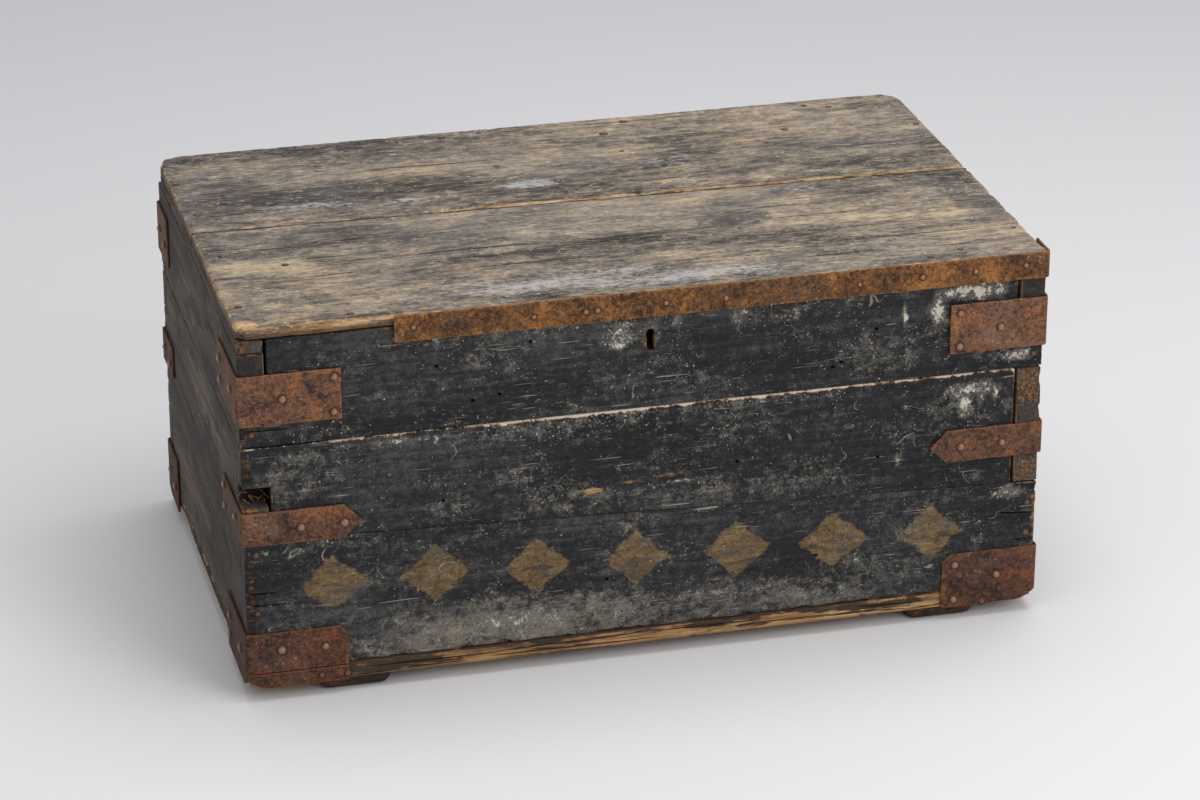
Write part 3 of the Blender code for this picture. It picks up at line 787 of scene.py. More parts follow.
def front_wear(near):
    """Board edges on show are worn more than those that lie hidden inside or closed against each other."""
    if near.y > face_y + 0.01:
        return 0.5
    if abs(near.x) > 0.44:
        return 1.5
    if abs(near.z - seam_at(near.x)) < 0.002 or upper_seam + 0.0001 < near.z < upper_seam + 0.002:
        return 0.35
    if near.x < -0.34 and near.z > 0.3:
        return 0.45
    return 1.5 if near.z < 0.04 or abs(near.z - upper_seam) < 0.0001 else 1


for seed, level in enumerate(("upper", "middle", "lower")):
    back_set = 0.0015 if level == "upper" else 0
    shape = worn_board(front_outlines[level], "y", face_y + back_set, lining_y,
                       (("x", 0.005), ("z", 0.0045), ("y", 0.009)), 0.0017, 0.0042, 11 + seed, front_wear,
                       0.0012, keyhole_cut if level == "upper" else None, ease_butts)
    shade_butts(shape)
    mark_faces(shape, "y", face_y, front_marks[level])
    pierce(shape, "y", face_y + back_set, front_holes[level])
    if level == "lower":
        for start, end in (((-0.456, 0.118), (-0.405, 0.116)), ((-0.456, 0.132), (-0.42, 0.131)),
                           ((0.41, 0.128), (0.456, 0.124)), ((0.43, 0.092), (0.456, 0.0905))):
            split_grain(shape, (start[0], face_y, start[1]), (end[0], face_y, end[1]), (0, -1, 0), 0.001,
                        0.005)
    if level == "upper":
        split_grain(shape, (-0.456, face_y + back_set, 0.3265), (-0.40, face_y + back_set, 0.325), (0, -1, 0),
                    0.0009, 0.004)
    line_inside(shape, "y", lining_y)
    paint = black_paint(f"{level}_black_paint", 1 + seed, level == "lower",
                        upper_seam if level == "middle" else None)
    place_piece(f"front_{level}_plank", shape, [paint, inside_pine], "box", "black_paint",
                f"front_{level}_board")

# Back: three boards like the front's, let down at the top for the two hinge straps.
# It stood against bulkheads, so its paint is rubbed more evenly.
rear_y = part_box("back_middle_board")[1].y
rear_lining_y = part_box("back_middle_board")[0].y
hinge_reach = 0.25
notch_half = 0.0183
notched = [(-half_length, 0.306), (half_length, 0.306), (half_length, 0.3527), (joint_butt, 0.3527),
           (joint_butt, 0.4317)]
for hinge_x in (hinge_reach, -hinge_reach):
    notched.extend([(hinge_x + notch_half, 0.4317), (hinge_x + notch_half, 0.4289),
                    (hinge_x - notch_half, 0.4289), (hinge_x - notch_half, 0.4317)])
notched.extend([(-joint_butt, 0.4317), (-joint_butt, 0.3637), (-half_length, 0.3637)])
back_outlines = {"upper": notched, "middle": front_outlines["middle"], "lower": front_outlines["lower"]}
back_marks = {
    "upper": {"scuff_and_shade": ((-0.1, 0.35, 0.3, 0.05, 0.9), (0.33, 0.37, 0.1, 0.06, 0.8)),
              "smear": ((0.05, 0.41, 0.12, 0.01, 0.5), (-0.3, 0.33, 0.04, 0.02, 0.6))},
    "middle": {"scuff_and_shade": ((0.2, 0.24, 0.25, 0.05, 1.0), (-0.3, 0.26, 0.12, 0.04, 0.9)),
               "bare": ((0.1, 0.3, 0.3, 0.004, 0.6), (-0.45, 0.28, 0.012, 0.02, 0.7))},
    "lower": {"scuff_and_shade": ((0.0, 0.06, 0.4, 0.03, 1.1), (-0.2, 0.14, 0.2, 0.03, 0.6)),
              "smear": ((0.25, 0.08, 0.06, 0.02, 0.5),), "bare": ((0.448, 0.1, 0.01, 0.05, 0.7),)},
}


def back_wear(near):
    if near.y < rear_y - 0.01:
        return 0.5
    return 1.5 if near.z < 0.04 or abs(near.x) > 0.44 else 1


for seed, level in enumerate(("upper", "middle", "lower")):
    shape = worn_board(back_outlines[level], "y", rear_lining_y, rear_y,
                       (("x", 0.007), ("z", 0.006), ("y", 0.009)), 0.0018, 0.004, 21 + seed, back_wear,
                       0.0012)
    mark_faces(shape, "y", rear_y, back_marks[level])
    line_inside(shape, "y", rear_lining_y)
    paint = black_paint(f"back_{level}_black_paint", 5 + seed, False,
                        upper_seam if level == "middle" else None)
    place_piece(f"back_{level}_plank", shape, [paint, inside_pine], "box", "black_paint",
                f"back_{level}_board")


# Ends: three boards each, grain running front to back, their fingers cut to lock into the front and back.
# Thin dark paint is worn to grey-brown wood, and the top left front finger of the middle is broken off.
def end_paint(name, axis, seed):
    finish, tree, shader = new_finish(name)
    shift = (seed * 3.3, seed * 1.9, seed * 2.1)
    flat = space(tree, (1, 1, 1), shift)
    streaks = cloud(tree, space(tree, along_grain(axis, 9, 230), shift), 5, 0.68)
    bands = cloud(tree, space(tree, along_grain(axis, 1.8, 27), shift), 4, 0.58, 0.5)
    rubbed = cloud(tree, space(tree, along_grain(axis, 9, 24), shift), 7, 0.72)
    dust = cloud(tree, flat, 4, 0.75, 0, 480)
    value = weigh(tree, (streaks, 0.42), (bands, 0.4), (dust, 0.18), (noted(tree, "scuff_and_shade"), 0.12))
    colour = shades(tree, value, (0.38, tone(40, 37, 35)), (0.47, tone(62, 57, 53)), (0.56, tone(86, 78, 70)),
                    (0.66, tone(122, 107, 88)))
    colour = glaze(tree, fade(tree, rubbed, 0.5, 0.62), 0.72, colour, tone(40, 39, 39))
    colour = cover(tree, fade(tree, streaks, 0.62, 0.68), colour, tone(26, 24, 23))
    thin = strongest(tree, scratches(tree, space(tree, (12, 12, 300), shift, (0.9, 0, 0)), 0.02),
                     scratches(tree, space(tree, along_grain(axis, 10, 330), shift), 0.03),
                     hairs(tree, space(tree, (40, 40, 40), shift), 0.012, 0.58))
    colour = glaze(tree, thin, 0.45, colour, tone(142, 132, 118))
    peaks = weigh(tree, (cloud(tree, flat, 3, 0.6, 0, 280), 1), (rubbed, 0.3))
    colour = glaze(tree, fade(tree, peaks, 0.88, 0.91), 0.7, colour, tone(164, 150, 128))
    chips = weigh(tree, (cloud(tree, flat, 6, 0.75, 0, 75), 0.7), (streaks, 0.3))
    wood = shades(tree, weigh(tree, (streaks, 0.6), (dust, 0.4)), (0.40, tone(42, 29, 20)),
                  (0.5, tone(94, 66, 42)), (0.60, tone(152, 112, 72)))
    worn = strongest(tree, noted(tree, "edge"), noted(tree, "bare"))
    bare = fade(tree, weigh(tree, (worn, 0.5), (chips, 1)), 0.80, 0.93)
    colour = glaze(tree, bare, 0.9, colour, wood)
    splash = weigh(tree, (cloud(tree, space(tree, (50, 50, 60), shift), 7, 0.78), 0.8), (dust, 0.2),
                   (noted(tree, "smear"), 0.32))
    colour = cover(tree, fade(tree, splash, 0.69, 0.76), colour, tone(198, 190, 172))
    # Painted shade and grime: marked cracks and the broken finger's hollow go near black.
    colour = cover(tree, fade(tree, noted(tree, "hollow_shade_and_grime"), 0.25, 0.7), colour, tone(12, 10, 9))
    join(tree, shader.inputs["Base Color"], colour)
    join(tree, shader.inputs["Roughness"], weigh(tree, (value, 0.35), (1.0, 0.6)))
    shader.inputs["Specular IOR Level"].default_value = 0.22
    relief(tree, shader, weigh(tree, (streaks, 1), (bands, 1), (bare, -0.6), (dust, 0.3)), 0.0008)
    return finish


inside_end_pine = raw_pine("inside_end_pine", "y", 9, tone(150, 124, 94), tone(120, 96, 72), tone(82, 64, 49),
                           -0.06, 0.35)
seat_gap = 0.0003
out_y = (face_y, rear_y)
in_y = (lining_y + seat_gap, rear_lining_y - seat_gap)
end_outlines = {
    "left_end_upper": [(in_y[0], 0.306), (in_y[1], 0.306), (in_y[1], 0.364), (out_y[1], 0.364),
                       (out_y[1], 0.4167), (out_y[0], 0.4167), (out_y[0], 0.364), (in_y[0], 0.364)],
    "left_end_middle": [(out_y[0], 0.1968), (out_y[1], 0.1968), (out_y[1], 0.258), (in_y[1], 0.258),
                        (in_y[1], 0.3057), (in_y[0], 0.3057), (in_y[0], 0.258), (out_y[0] + 0.021, 0.257),
                        (out_y[0] + 0.019, 0.2375), (out_y[0], 0.234)],
    "left_end_lower": oblong(in_y[0], in_y[1], 0.036, 0.1965),
    "right_end_upper": [(in_y[0], 0.306), (in_y[1], 0.306), (in_y[1], 0.353), (out_y[1], 0.353),
                        (out_y[1], 0.4167), (out_y[0], 0.4167), (out_y[0], 0.353), (in_y[0], 0.353)],
    "right_end_middle": oblong(out_y[0], out_y[1], 0.1644, 0.3057),
    "right_end_lower": oblong(in_y[0], in_y[1], 0.036, 0.1641),
}
finger_marks = {
    "left_end_upper": {"scuff_and_shade": ((-0.4425, 0.39, 0.03, 0.04, -0.8),)},
    "left_end_middle": {"bare": ((-0.45, 0.22, 0.02, 0.03, 0.8),),
                        "hollow_shade_and_grime": ((-0.4425, 0.247, 0.03, 0.02, 0.8),)},
    "right_end_upper": {"scuff_and_shade": ((0.4425, 0.385, 0.03, 0.045, -0.9),)},
    "right_end_middle": {"bare": ((0.4425, 0.285, 0.04, 0.05, 0.85), (0.4425, 0.18, 0.04, 0.05, 0.8)),
                         "smear": ((0.44, 0.182, 0.012, 0.02, 0.55),)},
}
end_face_marks = {
    "left_end_upper": {"scuff_and_shade": ((0.05, 0.35, 0.2, 0.05, 0.5),)},
    "left_end_middle": {"scuff_and_shade": ((-0.05, 0.26, 0.2, 0.05, 0.6),), "bare": ((0.06, 0.25, 0.04, 0.01, 0.35),)},
    "left_end_lower": {"bare": ((0.0, 0.038, 0.3, 0.012, 0.6), (-0.13, 0.06, 0.05, 0.02, 0.4)),
                       "scuff_and_shade": ((0.1, 0.1, 0.15, 0.04, 0.6),)},
    "right_end_upper": {"scuff_and_shade": ((0.0, 0.35, 0.25, 0.05, 0.8),), "smear": ((-0.15, 0.39, 0.03, 0.02, 0.5),)},
    "right_end_middle": {"scuff_and_shade": ((0.05, 0.24, 0.25, 0.06, 0.7),),
                         "bare": ((-0.26, 0.24, 0.015, 0.07, 0.7),)},
    "right_end_lower": {"bare": ((0.0, 0.038, 0.3, 0.012, 0.6),), "scuff_and_shade": ((-0.1, 0.1, 0.2, 0.05, 0.6),)},
}


def end_wear(near):
    if abs(near.x) < 0.43:
        return 0.5
    if near.x > 0.4 and near.y < face_y + 0.01 and 0.165 < near.z < 0.31:
        return 2.0
    return 1.4 if near.y < face_y + 0.01 or near.z < 0.04 else 1.1


for seed, (end, outline) in enumerate(end_outlines.items()):
    low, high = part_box(f"{end}_board")
    outer, inner = (low.x, high.x) if end.startswith("left") else (high.x, low.x)
    shape = worn_board(outline, "x", low.x, high.x, (("y", 0.006), ("z", 0.005), ("x", 0.008)),
                       0.0019, 0.004, 31 + seed, end_wear, 0.0012)
    # Dark marks set 20 mm behind the face, in the broken finger's hollow, are painted shade.
    for mark, spots in finger_marks.get(end, {}).items():
        mark_face(shape, mark, "y", face_y + (0.02 if mark == "hollow_shade_and_grime" else 0), spots)
    mark_faces(shape, "x", outer, end_face_marks[end])
    outward = (-1, 0, 0) if outer < 0 else (1, 0, 0)
    for start, finish_at, height in ((-0.2, -0.02, 0.62), (0.02, 0.2, 0.35)):
        level = low.z + (high.z - low.z) * height
        split_grain(shape, (outer, start, level), (outer, finish_at, level + 0.003), outward, 0.0009, 0.004)
    line_inside(shape, "x", inner)
    place_piece(f"{end}_plank", shape, [end_paint(f"{end}_paint", "y", 1 + seed), inside_end_pine], "box",
                "end_wood", f"{end}_board")

# Splinters: torn wood left standing where the left front finger broke away.
# Each is a thin tapered sliver still fast to the board at its root.
torn_pine = raw_pine("torn_pine", "y", 12, tone(196, 158, 108), tone(146, 106, 66), tone(72, 48, 32), -0.05)
shape = new_shape()
chance = random.Random(5)
for number in range(16):
    length = chance.uniform(0.008, 0.019)
    width = chance.uniform(0.0006, 0.0016)
    sliver = bmesh.ops.create_cone(shape, cap_ends=True, segments=5, radius1=width, radius2=0.0001,
                                   depth=length)["verts"]
    bmesh.ops.translate(shape, vec=(0, 0, length / 2), verts=sliver)
    lean = Matrix.Rotation(math.radians(90 + chance.uniform(-28, 28)), 4, "X")
    lean = Matrix.Rotation(math.radians(chance.uniform(-35, 35)), 4, "Z") @ lean
    root = (chance.uniform(-0.455, -0.430), face_y + chance.uniform(0.018, 0.022),
            chance.uniform(0.2345, 0.2500))
    bmesh.ops.transform(shape, matrix=Matrix.Translation(root) @ lean, verts=sliver)
place_piece("broken_finger_splinters", shape, [torn_pine], "box", "raw_wood")

# Corner irons: rusty sheet cut to plates and pointed straps, then folded cold round the corners.
# The rims are nicked, the folds rounded, and the plates lie a little unevenly on the wood.
chest_middle_y = (face_y + rear_y) / 2
fold_radius = 0.0022
sheet_gauge = 0.0025
plate_lift = 0.0003


def bent_plate(right, back, end_leg, side_leg, low, high, seed, point=0.0, clip=0.0, groove=None, foot=0.0,
               step=0.005):
    """Plate cut flat, trimmed, its rim nicked, then folded round a corner and given its thickness."""
    shape = new_shape()
    edge = shape.verts.layers.float["edge"]
    hollow_shade_and_grime = shape.verts.layers.float["hollow_shade_and_grime"]
    scuff_and_shade = shape.verts.layers.float["scuff_and_shade"]
    length = end_leg + side_leg + point
    bmesh.ops.create_grid(shape, x_segments=round(length / step),
                          y_segments=max(5, round((high - low) / step)), size=0.5)
    bmesh.ops.scale(shape, vec=(length, high - low, 1), verts=shape.verts)
    bmesh.ops.translate(shape, vec=((side_leg + point - end_leg) / 2, (low + high) / 2, 0), verts=shape.verts)
    cuts = []
    if point:
        cuts.append(((side_leg, high, 0), ((high - low) / 2, point, 0), True))
        cuts.append(((side_leg, low, 0), ((high - low) / 2, -point, 0), True))
    if clip:
        cuts.append(((side_leg, high - clip, 0), (1, 1, 0), True))
    for fold in (-0.0024, -0.0012, 0, 0.0012, 0.0024):
        cuts.append(((fold, 0, 0), (1, 0, 0), False))
    for line in (-0.0013, 0, 0.0013) if groove else ():
        cuts.append(((0, groove + line, 0), (0, 1, 0), False))
    for place, normal, trim in cuts:
        cut_across(shape, place, normal, trim)
    shift = Vector((seed * 5.1, seed * 2.7, seed * 1.1))
    rim = {corner for side in shape.edges if side.is_boundary for corner in side.verts}
    for corner in rim:
        nick = max(0, noise.noise(corner.co * 160 + shift) - 0.3) * 0.0022
        corner.co.x += 0.0006 * noise.noise(corner.co * 45 + shift)
        corner.co.y += 0.0006 * noise.noise(corner.co * 52 - shift)
        corner.co += (Vector(((side_leg - end_leg) / 2, (low + high) / 2, 0)) - corner.co).normalized() * nick
    corner_x = right * (half_length + seat_gap)
    corner_y = chest_middle_y + back * ((rear_y - face_y) / 2 + seat_gap)
    pressed = []
    for place in shape.verts:
        run, height = place.co.x, place.co.y
        if run > fold_radius:
            along, inward = run, 0
        elif run < -fold_radius:
            along, inward = 0, -run
        else:
            turn = (run / fold_radius + 1) * math.pi / 4
            along = fold_radius * (1 - math.cos(turn))
            inward = fold_radius * (1 - math.sin(turn))
        place[scuff_and_shade] = 1 if run < 0 else 0
        if groove and abs(height - groove) < 0.0002:
            pressed.append(place)
        height += foot * max(0, 1 - abs(run) / 0.022) ** 2 * max(0, 1 - (height - low) / 0.02)
        place.co = (corner_x - right * along, corner_y - back * inward, height)
    shape.normal_update()
    front = max(shape.faces, key=lambda face: -abs(face.calc_center_median().y - corner_y))
    if front.normal.y * back < 0:
        bmesh.ops.reverse_faces(shape, faces=shape.faces)
        shape.normal_update()
    for place in shape.verts:
        place.co += place.normal * plate_lift * (1 + noise.noise(place.co * 17 + shift))
    # The pressed groove is marked to be painted dark, shade in the crease.
    for place in pressed:
        place[hollow_shade_and_grime] = 1
    grown = bmesh.ops.extrude_face_region(shape, geom=shape.faces[:])["geom"]
    shape.normal_update()
    outer = [item for item in grown if isinstance(item, bmesh.types.BMVert)]
    for place in outer:
        sunk = 0.0018 if place[hollow_shade_and_grime] > 0.5 else 0
        place.co += place.normal * (sheet_gauge - sunk)
    bmesh.ops.recalc_face_normals(shape, faces=shape.faces)
    nearest = searchable(arris_points(shape, 0.003))
    round_off(shape, sharp_edges(shape), 0.0006)
    for place in shape.verts:
        place[edge] = max(0, 1 - nearest.find(place.co)[2] / 0.0045)
    return shape


def rusty_sheet(name, seed, dark, brown, red, bright, sheen):
    """Brown rust in blotches and grit over pitted sheet, greyer where it is rubbed, flaked to pale specks."""
    finish, tree, shader = new_finish(name)
    shift = (seed * 1.1, seed * 2.6, seed * 3.7)
    flat = space(tree, (1, 1, 1), shift)
    blotch = cloud(tree, flat, 6, 0.65, 0.4, 26)
    grit = cloud(tree, flat, 5, 0.74, 0, 235)
    fine = cloud(tree, flat, 3, 0.7, 0, 620)
    value = weigh(tree, (blotch, 0.27), (grit, 0.45), (fine, 0.28))
    colour = shades(tree, value, (0.42, dark), (0.475, brown), (0.53, red), (0.60, bright))
    bloom = fade(tree, weigh(tree, (blotch, 0.8), (grit, 0.2)), 0.53, 0.62)
    colour = glaze(tree, bloom, 0.5, colour, bright)
    stain = fade(tree, weigh(tree, (blotch, 0.7), (grit, 0.3)), 0.47, 0.38)
    colour = glaze(tree, stain, 0.75, colour, dark)
    rubbed = fade(tree, weigh(tree, (cloud(tree, flat, 6, 0.7, 0, 15), 0.75), (grit, 0.25)), 0.5, 0.6)
    colour = glaze(tree, rubbed, 0.5, colour, sheen)
    pits = fade(tree, weigh(tree, (cloud(tree, flat, 4, 0.68, 0, 330), 0.85), (blotch, 0.15)), 0.59, 0.63)
    colour = glaze(tree, pits, 0.75, colour, tone(40, 26, 20))
    flecks = fade(tree, weigh(tree, (cloud(tree, flat, 3, 0.65, 0, 290), 0.8), (rubbed, 0.06)), 0.55, 0.58)
    colour = glaze(tree, flecks, 0.6, colour, tone(184, 152, 120))
    rim = fade(tree, weigh(tree, (noted(tree, "edge"), 0.8), (grit, 0.9)), 0.95, 1.25)
    colour = glaze(tree, rim, 0.5, colour, bright)
    colour = glaze(tree, noted(tree, "scuff_and_shade"), 0.42, colour, dark)
    # Painted shade: the marked groove in the sheet goes near black.
    colour = cover(tree, fade(tree, noted(tree, "hollow_shade_and_grime"), 0.3, 0.8), colour, tone(24, 15, 12))
    join(tree, shader.inputs["Base Color"], colour)
    join(tree, shader.inputs["Roughness"], weigh(tree, (value, 0.5), (1.0, 0.46)))
    shader.inputs["Metallic"].default_value = 0.12
    shader.inputs["Specular IOR Level"].default_value = 0.3
    relief(tree, shader, weigh(tree, (value, 1.4), (rubbed, 0.8), (pits, -0.9)), 0.0007)
    return finish


corner_rusts = {
    "upper": rusty_sheet("upper_rust", 1, tone(52, 36, 30), tone(98, 67, 51), tone(126, 86, 62),
                         tone(166, 106, 62), tone(130, 100, 86)),
    "middle": rusty_sheet("middle_rust", 2, tone(44, 31, 26), tone(84, 58, 45), tone(112, 76, 55),
                          tone(150, 94, 56), tone(116, 90, 77)),
    "bottom": rusty_sheet("bottom_rust", 3, tone(36, 25, 21), tone(72, 47, 35), tone(100, 63, 43),
                          tone(142, 84, 47), tone(92, 70, 60)),
}
for seed, (corner, right, back) in enumerate((("front_left", -1, -1), ("front_right", 1, -1),
                                              ("back_left", -1, 1), ("back_right", 1, 1))):
    end_leg = 0.070 if back > 0 else 0.115
    for level, rust in corner_rusts.items():
        node = f"{corner}_{level}_iron"
        low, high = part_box(node)
        at_foot = level == "bottom"
        shape = bent_plate(right, back, end_leg, 0.112, low.z, high.z, 10 * seed + len(level),
                           0.019 if level == "middle" else 0, 0.009 if at_foot else 0,
                           0.0345 if node == "front_left_bottom_iron" else None, 0.011 if at_foot else 0)
        place_piece(f"{corner}_{level}_plate", shape, [rust], "box", "rusty_iron", node)

# Rivets: domed iron heads driven through the corner irons, two to four to a leg.
# Handling has rubbed their tops bright over dark rust at the foot; the light top is also a painted highlight
# and the dark foot painted shade.
dome = ((0, 0.0038), (0.0020, 0.0035), (0.0038, 0.0025), (0.0049, 0.0012), (0.0052, 0.0003), (0.0056, 0.0002),
        (0.0058, -0.0008), (0, -0.0008))


def turned_head(profile, steps=14):
    """Head of a nail or rivet, its half outline spun round."""
    shape = bmesh.new()
    points = [shape.verts.new((radius, 0, height)) for radius, height in profile]
    lines = [shape.edges.new(pair) for pair in zip(points, points[1:])]
    bmesh.ops.spin(shape, geom=points + lines, cent=(0, 0, 0), axis=(0, 0, 1), dvec=(0, 0, 0),
                   angle=2 * math.pi, steps=steps, use_merge=True)
    bmesh.ops.remove_doubles(shape, verts=shape.verts, dist=0.000005)
    bmesh.ops.recalc_face_normals(shape, faces=shape.faces)
    mesh = bpy.data.meshes.new("head")
    shape.to_mesh(mesh)
    shape.free()
    return mesh


def drive_heads(name, head, outward, places, finish, body, slot, seed=1, uneven=0.12):
    """One piece of like heads, each set on its surface a little turned, tilted and battered."""
    chance = random.Random(seed)
    shape = new_shape()
    edge = shape.verts.layers.float["edge"]
    upright = Vector((0, 0, 1)).rotation_difference(Vector(outward)).to_matrix().to_4x4()
    top = max(point.co.z for point in head.vertices)
    for place in places:
        before = set(shape.verts)
        shape.from_mesh(head)
        points = [point for point in shape.verts if point not in before]
        size = 1 + chance.uniform(-uneven, uneven)
        for point in points:
            # The head's height is noted for its finish, which paints the top light and the foot dark: wear
            # and rust, with a painted highlight and painted shade.
            point[edge] = max(0, point.co.z / top)
            dent = 1 + 0.07 * noise.noise(point.co * 400 + Vector((seed, 0, len(before))))
            point.co = Vector((point.co.x * size * dent, point.co.y * size / dent, point.co.z * dent))
        tilt = Matrix.Rotation(chance.uniform(-0.09, 0.09), 4, "X")
        tilt = tilt @ Matrix.Rotation(chance.uniform(0, 6), 4, "Z")
        bmesh.ops.transform(shape, matrix=Matrix.Translation(place) @ upright @ tilt, verts=points)
    return place_piece(name, shape, [finish], body, slot)


def iron_head(name, foot, side, top, seed):
    finish, tree, shader = new_finish(name)
    flat = space(tree, (1, 1, 1), (seed * 2.2, seed * 0.7, seed))
    fine = cloud(tree, flat, 5, 0.7, 0, 420)
    worn = weigh(tree, (noted(tree, "edge"), 0.75), (fine, 0.5))
    # Colour by height on the head: rust and rubbing, with a painted highlight on the top and painted shade
    # round the foot.
    colour = shades(tree, worn, (0.30, foot), (0.58, side), (0.95, top))
    join(tree, shader.inputs["Base Color"], colour)
    join(tree, shader.inputs["Roughness"], weigh(tree, (worn, -0.36), (1.0, 0.68)))
    shader.inputs["Metallic"].default_value = 0.35
    relief(tree, shader, fine, 0.0005)
    return finish


rivet_iron = iron_head("rivet_iron", tone(42, 27, 21), tone(102, 71, 55), tone(150, 114, 92), 1)
rivet_head = turned_head(dome)
plate_front = face_y - seat_gap - sheet_gauge - plate_lift
plate_rear = rear_y + seat_gap + sheet_gauge + plate_lift
plate_end = half_length + seat_gap + sheet_gauge + plate_lift
leg_rivets = {
    "front_left_upper": ((-0.410, 0.363), (-0.353, 0.383), (-0.354, 0.342)),
    "front_left_middle": ((-0.394, 0.209), (-0.346, 0.209)),
    "front_left_bottom": ((-0.420, 0.062), (-0.371, 0.061)),
    "front_right_upper": ((0.356, 0.382), (0.404, 0.361), (0.356, 0.342)),
    "front_right_middle": ((0.362, 0.2185), (0.411, 0.2185)),
    "front_right_bottom": ((0.360, 0.070), (0.411, 0.052), (0.360, 0.026)),
    "back_left_upper": ((-0.412, 0.363), (-0.355, 0.382), (-0.355, 0.343)),
    "back_left_middle": ((-0.398, 0.210), (-0.349, 0.2105)),
    "back_left_bottom": ((-0.415, 0.058), (-0.362, 0.066), (-0.361, 0.030)),
    "back_right_upper": ((0.410, 0.362), (0.356, 0.383), (0.355, 0.341)),
    "back_right_middle": ((0.401, 0.219), (0.350, 0.2195)),
    "back_right_bottom": ((0.413, 0.056), (0.360, 0.067), (0.361, 0.029)),
}
for seed, (plate, spots) in enumerate(leg_rivets.items()):
    forward = -1 if plate.startswith("front") else 1
    level = plate_front if forward < 0 else plate_rear
    drive_heads(f"{plate}_rivets", rivet_head, (0, forward, 0), [(x, level, z) for x, z in spots], rivet_iron,
                "box", "rusty_iron", 40 + seed)
    sign = -1 if "left" in plate else 1
    low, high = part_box(f"{plate}_iron")
    middle = (low.z + high.z) / 2
    if forward < 0:
        flap = ((face_y + 0.03, middle + 0.004), (face_y + 0.098, middle + 0.012),
                (face_y + 0.097, middle - 0.013))
    else:
        flap = ((rear_y - 0.022, middle + 0.003), (rear_y - 0.057, middle - 0.004))
    drive_heads(f"{plate}_end_rivets", rivet_head, (sign, 0, 0), [(sign * plate_end, y, z) for y, z in flap],
                rivet_iron, "box", "rusty_iron", 60 + seed)

# Nails: wrought heads that hold the joint fingers and the bottom, hammered flat and rusted dark.
# They sit slightly below the rims of the wood that has swollen round them.
nail_iron = iron_head("nail_iron", tone(26, 18, 14), tone(68, 45, 32), tone(112, 75, 52), 4)
flat_head = turned_head(((0, 0.0012), (0.0020, 0.0011), (0.0032, 0.0006), (0.0036, 0.0002), (0.0045, 0.0001),
                         (0.0047, -0.0010), (0, -0.0010)), 9)
drive_heads("front_joint_nails", flat_head, (0, -1, 0),
            [(-0.444, face_y + 0.0014, 0.322), (-0.444, face_y, 0.179), (-0.4445, face_y, 0.108),
             (0.446, face_y + 0.0014, 0.322), (0.4455, face_y, 0.10), (0.446, face_y, 0.138)],
            nail_iron, "box", "rusty_iron", 3)
drive_heads("front_foot_nails", flat_head, (0, -1, 0),
            [(-0.376, plate_front, 0.025), (-0.347, plate_front, 0.024), (0.395, plate_front, 0.019)],
            nail_iron, "box", "rusty_iron", 9)
drive_heads("back_joint_nails", flat_head, (0, 1, 0),
            [(side * 0.4445, rear_y - 0.0004, height) for side in (-1, 1) for height in (0.322, 0.15, 0.105)],
            nail_iron, "box", "rusty_iron", 4)
end_nails = ((face_y + 0.014, 0.405), (face_y + 0.013, 0.27), (rear_y - 0.014, 0.404),
             (rear_y - 0.013, 0.272), (-0.05, 0.243), (0.1, 0.05), (-0.12, 0.049))
for side, sign in (("left", -1), ("right", 1)):
    drive_heads(f"{side}_joint_nails", flat_head, (sign, 0, 0),
                [(sign * (half_length - 0.0004), y, z) for y, z in end_nails],
                nail_iron, "box", "rusty_iron", 5 + sign)


# Lock: an iron plate let against the inside of the front with a shallow case over the bolt and its spring.
# It is dull worn iron with brown bloom, screwed through the plate's rim.
def dull_iron(name, seed, light, middle, rust):
    finish, tree, shader = new_finish(name)
    flat = space(tree, (1, 1, 1), (seed, seed * 2.1, seed * 0.6))
    bloom = cloud(tree, flat, 6, 0.65, 0.3, 38)
    filed = cloud(tree, space(tree, (30, 30, 700), (seed, 0, 0)), 3, 0.6)
    colour = shades(tree, bloom, (0.36, light), (0.5, middle), (0.62, rust))
    colour = glaze(tree, fade(tree, filed, 0.55, 0.7), 0.35, colour, light)
    join(tree, shader.inputs["Base Color"], colour)
    join(tree, shader.inputs["Roughness"], calc(tree, "ADD", 0.36, calc(tree, "MULTIPLY", bloom, 0.5)))
    shader.inputs["Metallic"].default_value = 0.6
    relief(tree, shader, calc(tree, "ADD", bloom, calc(tree, "MULTIPLY", filed, 0.4)), 0.0004)
    return finish


def refinish(node, finish):
    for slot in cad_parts[node].material_slots:
        slot.material = finish


lock_finish = dull_iron("lock_finish", 3, tone(126, 118, 110), tone(92, 80, 70), tone(96, 62, 42))
for node in ("lock_plate", "lock_case", "bolt_spring", "lock_bolt", "lid_staple"):
    refinish(node, lock_finish)
low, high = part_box("lock_plate")
screw_head = turned_head(((0, 0.0008), (0.0014, 0.0008), (0.0018, 0.0003), (0.0019, -0.0006), (0, -0.0006)),
                         10)
drive_heads("lock_screws", screw_head, (0, 1, 0),
            [(x, high.y, z) for x in (low.x + 0.002, high.x - 0.002)
             for z in (low.z + 0.004, high.z - 0.008)],
            lock_finish, "box", "lock_iron", 8)

